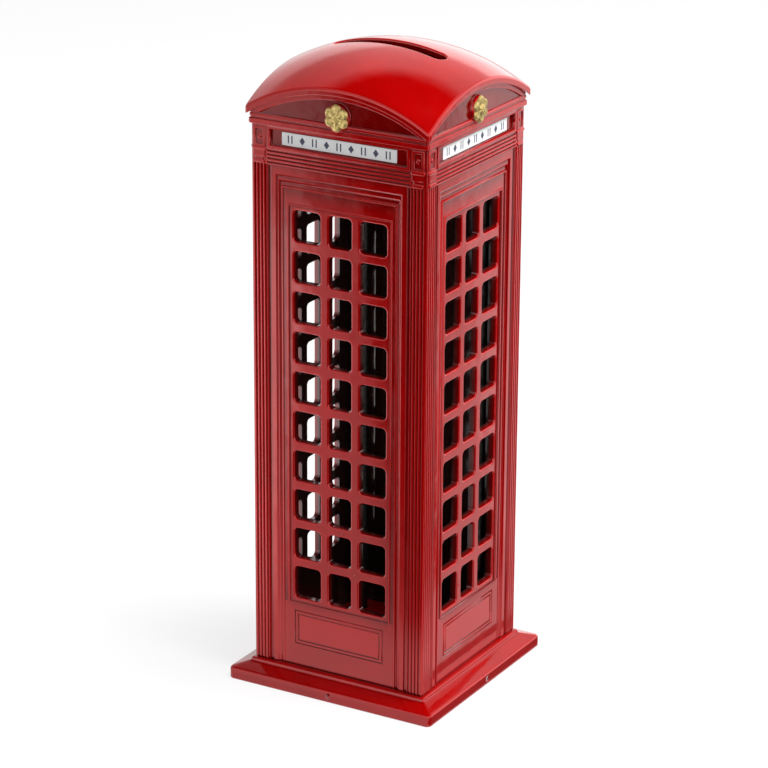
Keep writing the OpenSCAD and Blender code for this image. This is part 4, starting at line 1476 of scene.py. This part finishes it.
class MONEYBOX_OT_studio(bpy.types.Operator):
    """Lay the pale floor, set the lights and the camera"""

    bl_idname = "money_box.studio"
    bl_label = "Studio"

    def execute(self, context):
        self.floor(context.scene.money_box_colours)
        self.world(context.scene)
        self.lamp()
        for card in FLOOR_CARDS:
            self.card(*card)
        self.camera(context.scene)
        context.scene.view_settings.view_transform = "Standard"
        return {"FINISHED"}

    @staticmethod
    def floor(colours):
        """A wide matt floor that glows a little, so that no edge of it shows."""
        obj = oblong("studio_floor", (-FLOOR_REACH, FLOOR_REACH), (-FLOOR_REACH, FLOOR_REACH), 0)
        n = Nodes("studio_floor")
        base = tuple(colours.floor)
        cloudy = n.mix(n.spread(n.noise(4, 2), 0.3, 0.7, 0, 1), [v * 0.98 for v in base], base)
        n.link(cloudy, n.shader.inputs["Base Color"])
        n.set(Roughness=0.9, Specular_IOR_Level=0.0, Emission_Color=(1, 1, 1, 1), Emission_Strength=0.8)
        obj.data.materials.append(n.material)

    @staticmethod
    def world(scene):
        """A pale surround that fades to dark overhead; it shows more in the gloss than it lights."""
        world = bpy.data.worlds.new("studio")
        scene.world = world
        world.use_nodes = True
        tree = world.node_tree
        tree.nodes.clear()
        out = tree.nodes.new("ShaderNodeOutputWorld")
        back = tree.nodes.new("ShaderNodeBackground")
        split = tree.nodes.new("ShaderNodeSeparateXYZ")
        tree.links.new(tree.nodes.new("ShaderNodeTexCoord").outputs["Generated"], split.inputs[0])
        gloss = product(tree, [fade(tree, split.outputs[axis], *ends) for axis, *ends in SURROUND])
        kind = tree.nodes.new("ShaderNodeLightPath")
        plain = tree.nodes.new("ShaderNodeMath")
        plain.operation = "MULTIPLY_ADD"
        tree.links.new(kind.outputs["Is Camera Ray"], plain.inputs[0])
        plain.inputs[1].default_value = SURROUND_SHOWN
        plain.inputs[2].default_value = SURROUND_LIGHT
        pick = tree.nodes.new("ShaderNodeMix")
        tree.links.new(kind.outputs["Is Glossy Ray"], pick.inputs["Factor"])
        tree.links.new(plain.outputs[0], pick.inputs["A"])
        tree.links.new(gloss, pick.inputs["B"])
        tree.links.new(pick.outputs["Result"], back.inputs["Strength"])
        back.inputs["Color"].default_value = (1, 1, 1, 1)
        tree.links.new(back.outputs[0], out.inputs["Surface"])

    @staticmethod
    def lamp():
        """One broad soft lamp over the right side, which the gloss doesn't show."""
        data = bpy.data.lights.new("key_soft", "AREA")
        data.shape, data.size, data.energy = "SQUARE", LAMP_SIDE, LAMP_POWER
        obj = bpy.data.objects.new("key_soft", data)
        bpy.context.scene.collection.objects.link(obj)
        obj.location = LAMP_AT
        obj.rotation_euler = (Vector(LAMP_AIM) - Vector(LAMP_AT)).to_track_quat("-Z", "Y").to_euler()
        obj.visible_glossy = False

    @staticmethod
    def card(name, x, y, away_along, near, near_bright, bands):
        """A shaded card on the floor that only the gloss sees."""
        obj = oblong(name, x, y, CARD_Z)
        material = bpy.data.materials.new(name)
        material.use_nodes = True
        tree = material.node_tree
        tree.nodes.clear()
        out = tree.nodes.new("ShaderNodeOutputMaterial")
        glow = tree.nodes.new("ShaderNodeEmission")
        spot = tree.nodes.new("ShaderNodeTexCoord").outputs["Object"]
        shades = []
        for across, *ends in bands:
            offset = tree.nodes.new("ShaderNodeVectorMath")
            offset.operation = "DOT_PRODUCT"
            offset.inputs[1].default_value = (*across, 0)
            tree.links.new(spot, offset.inputs[0])
            shades.append(fade(tree, offset.outputs["Value"], *ends))
        split = tree.nodes.new("ShaderNodeSeparateXYZ")
        tree.links.new(spot, split.inputs[0])
        away = sums(tree, "ABSOLUTE", split.outputs[away_along], None)
        mix = tree.nodes.new("ShaderNodeMix")
        tree.links.new(fade(tree, away, *near, 0, 1), mix.inputs["Factor"])
        mix.inputs["A"].default_value = near_bright
        tree.links.new(product(tree, shades), mix.inputs["B"])
        tree.links.new(mix.outputs["Result"], glow.inputs["Strength"])
        tree.links.new(glow.outputs[0], out.inputs["Surface"])
        obj.data.materials.append(material)
        obj.visible_camera = obj.visible_diffuse = obj.visible_shadow = obj.visible_transmission = False

    @staticmethod
    def camera(scene):
        """A long lens from the front right, a little above the box."""
        turn, lift, roll = (math.radians(v) for v in (CAMERA_TURN, CAMERA_LIFT, CAMERA_ROLL))
        side = Vector((math.cos(turn), math.sin(turn), 0))
        back = Vector((math.sin(turn) * math.cos(lift), -math.cos(turn) * math.cos(lift), math.sin(lift)))
        up = back.cross(side)
        x = math.cos(roll) * side + math.sin(roll) * up
        y = -math.sin(roll) * side + math.cos(roll) * up
        spot = side * AIM_ACROSS + Vector((0, 0, AIM_UP)) + back * CAMERA_AWAY
        data = bpy.data.cameras.new("camera")
        data.sensor_width, data.lens = CAMERA_FILM, CAMERA_LENS
        data.clip_start, data.clip_end = 0.05, 50
        obj = bpy.data.objects.new("camera", data)
        obj.matrix_world = Matrix((
            (x.x, y.x, back.x, spot.x), (x.y, y.y, back.y, spot.y), (x.z, y.z, back.z, spot.z), (0, 0, 0, 1),
        ))
        scene.collection.objects.link(obj)
        scene.camera = obj


class MONEYBOX_PT_parts(bpy.types.Panel):
    """Sizes, colours and builders of the money box"""

    bl_label = "Money box"
    bl_idname = "MONEYBOX_PT_parts"
    bl_space_type = "VIEW_3D"
    bl_region_type = "UI"
    bl_category = "Money box"

    def draw(self, context):
        """Lists the sizes, the colours and the builders."""
        column = self.layout.column(align=True)
        for group in (context.scene.money_box_sizes, context.scene.money_box_colours):
            for key in group.__annotations__:
                column.prop(group, key)
            column.separator()
        for operator in OPERATORS:
            column.operator(operator.bl_idname)


OPERATORS = (
    MONEYBOX_OT_plinth,
    MONEYBOX_OT_walls,
    MONEYBOX_OT_roof,
    MONEYBOX_OT_labels,
    MONEYBOX_OT_rosettes,
    MONEYBOX_OT_fittings,
    MONEYBOX_OT_studio,
)
CLASSES = (MoneyBoxSizes, MoneyBoxColours, *OPERATORS, MONEYBOX_PT_parts)


def register():
    """Adds the classes and the settings that the scene carries."""
    for cls in CLASSES:
        bpy.utils.register_class(cls)
    bpy.types.Scene.money_box_sizes = PointerProperty(type=MoneyBoxSizes)
    bpy.types.Scene.money_box_colours = PointerProperty(type=MoneyBoxColours)


def unregister():
    """Takes them away again."""
    del bpy.types.Scene.money_box_colours
    del bpy.types.Scene.money_box_sizes
    for cls in reversed(CLASSES):
        bpy.utils.unregister_class(cls)


def main():
    """Builds every piece and the studio."""
    register()
    bpy.ops.money_box.plinth()
    bpy.ops.money_box.walls()
    bpy.ops.money_box.roof()
    bpy.ops.money_box.labels()
    bpy.ops.money_box.rosettes()
    bpy.ops.money_box.fittings()
    bpy.ops.money_box.studio()


if __name__ == "__main__":
    main()
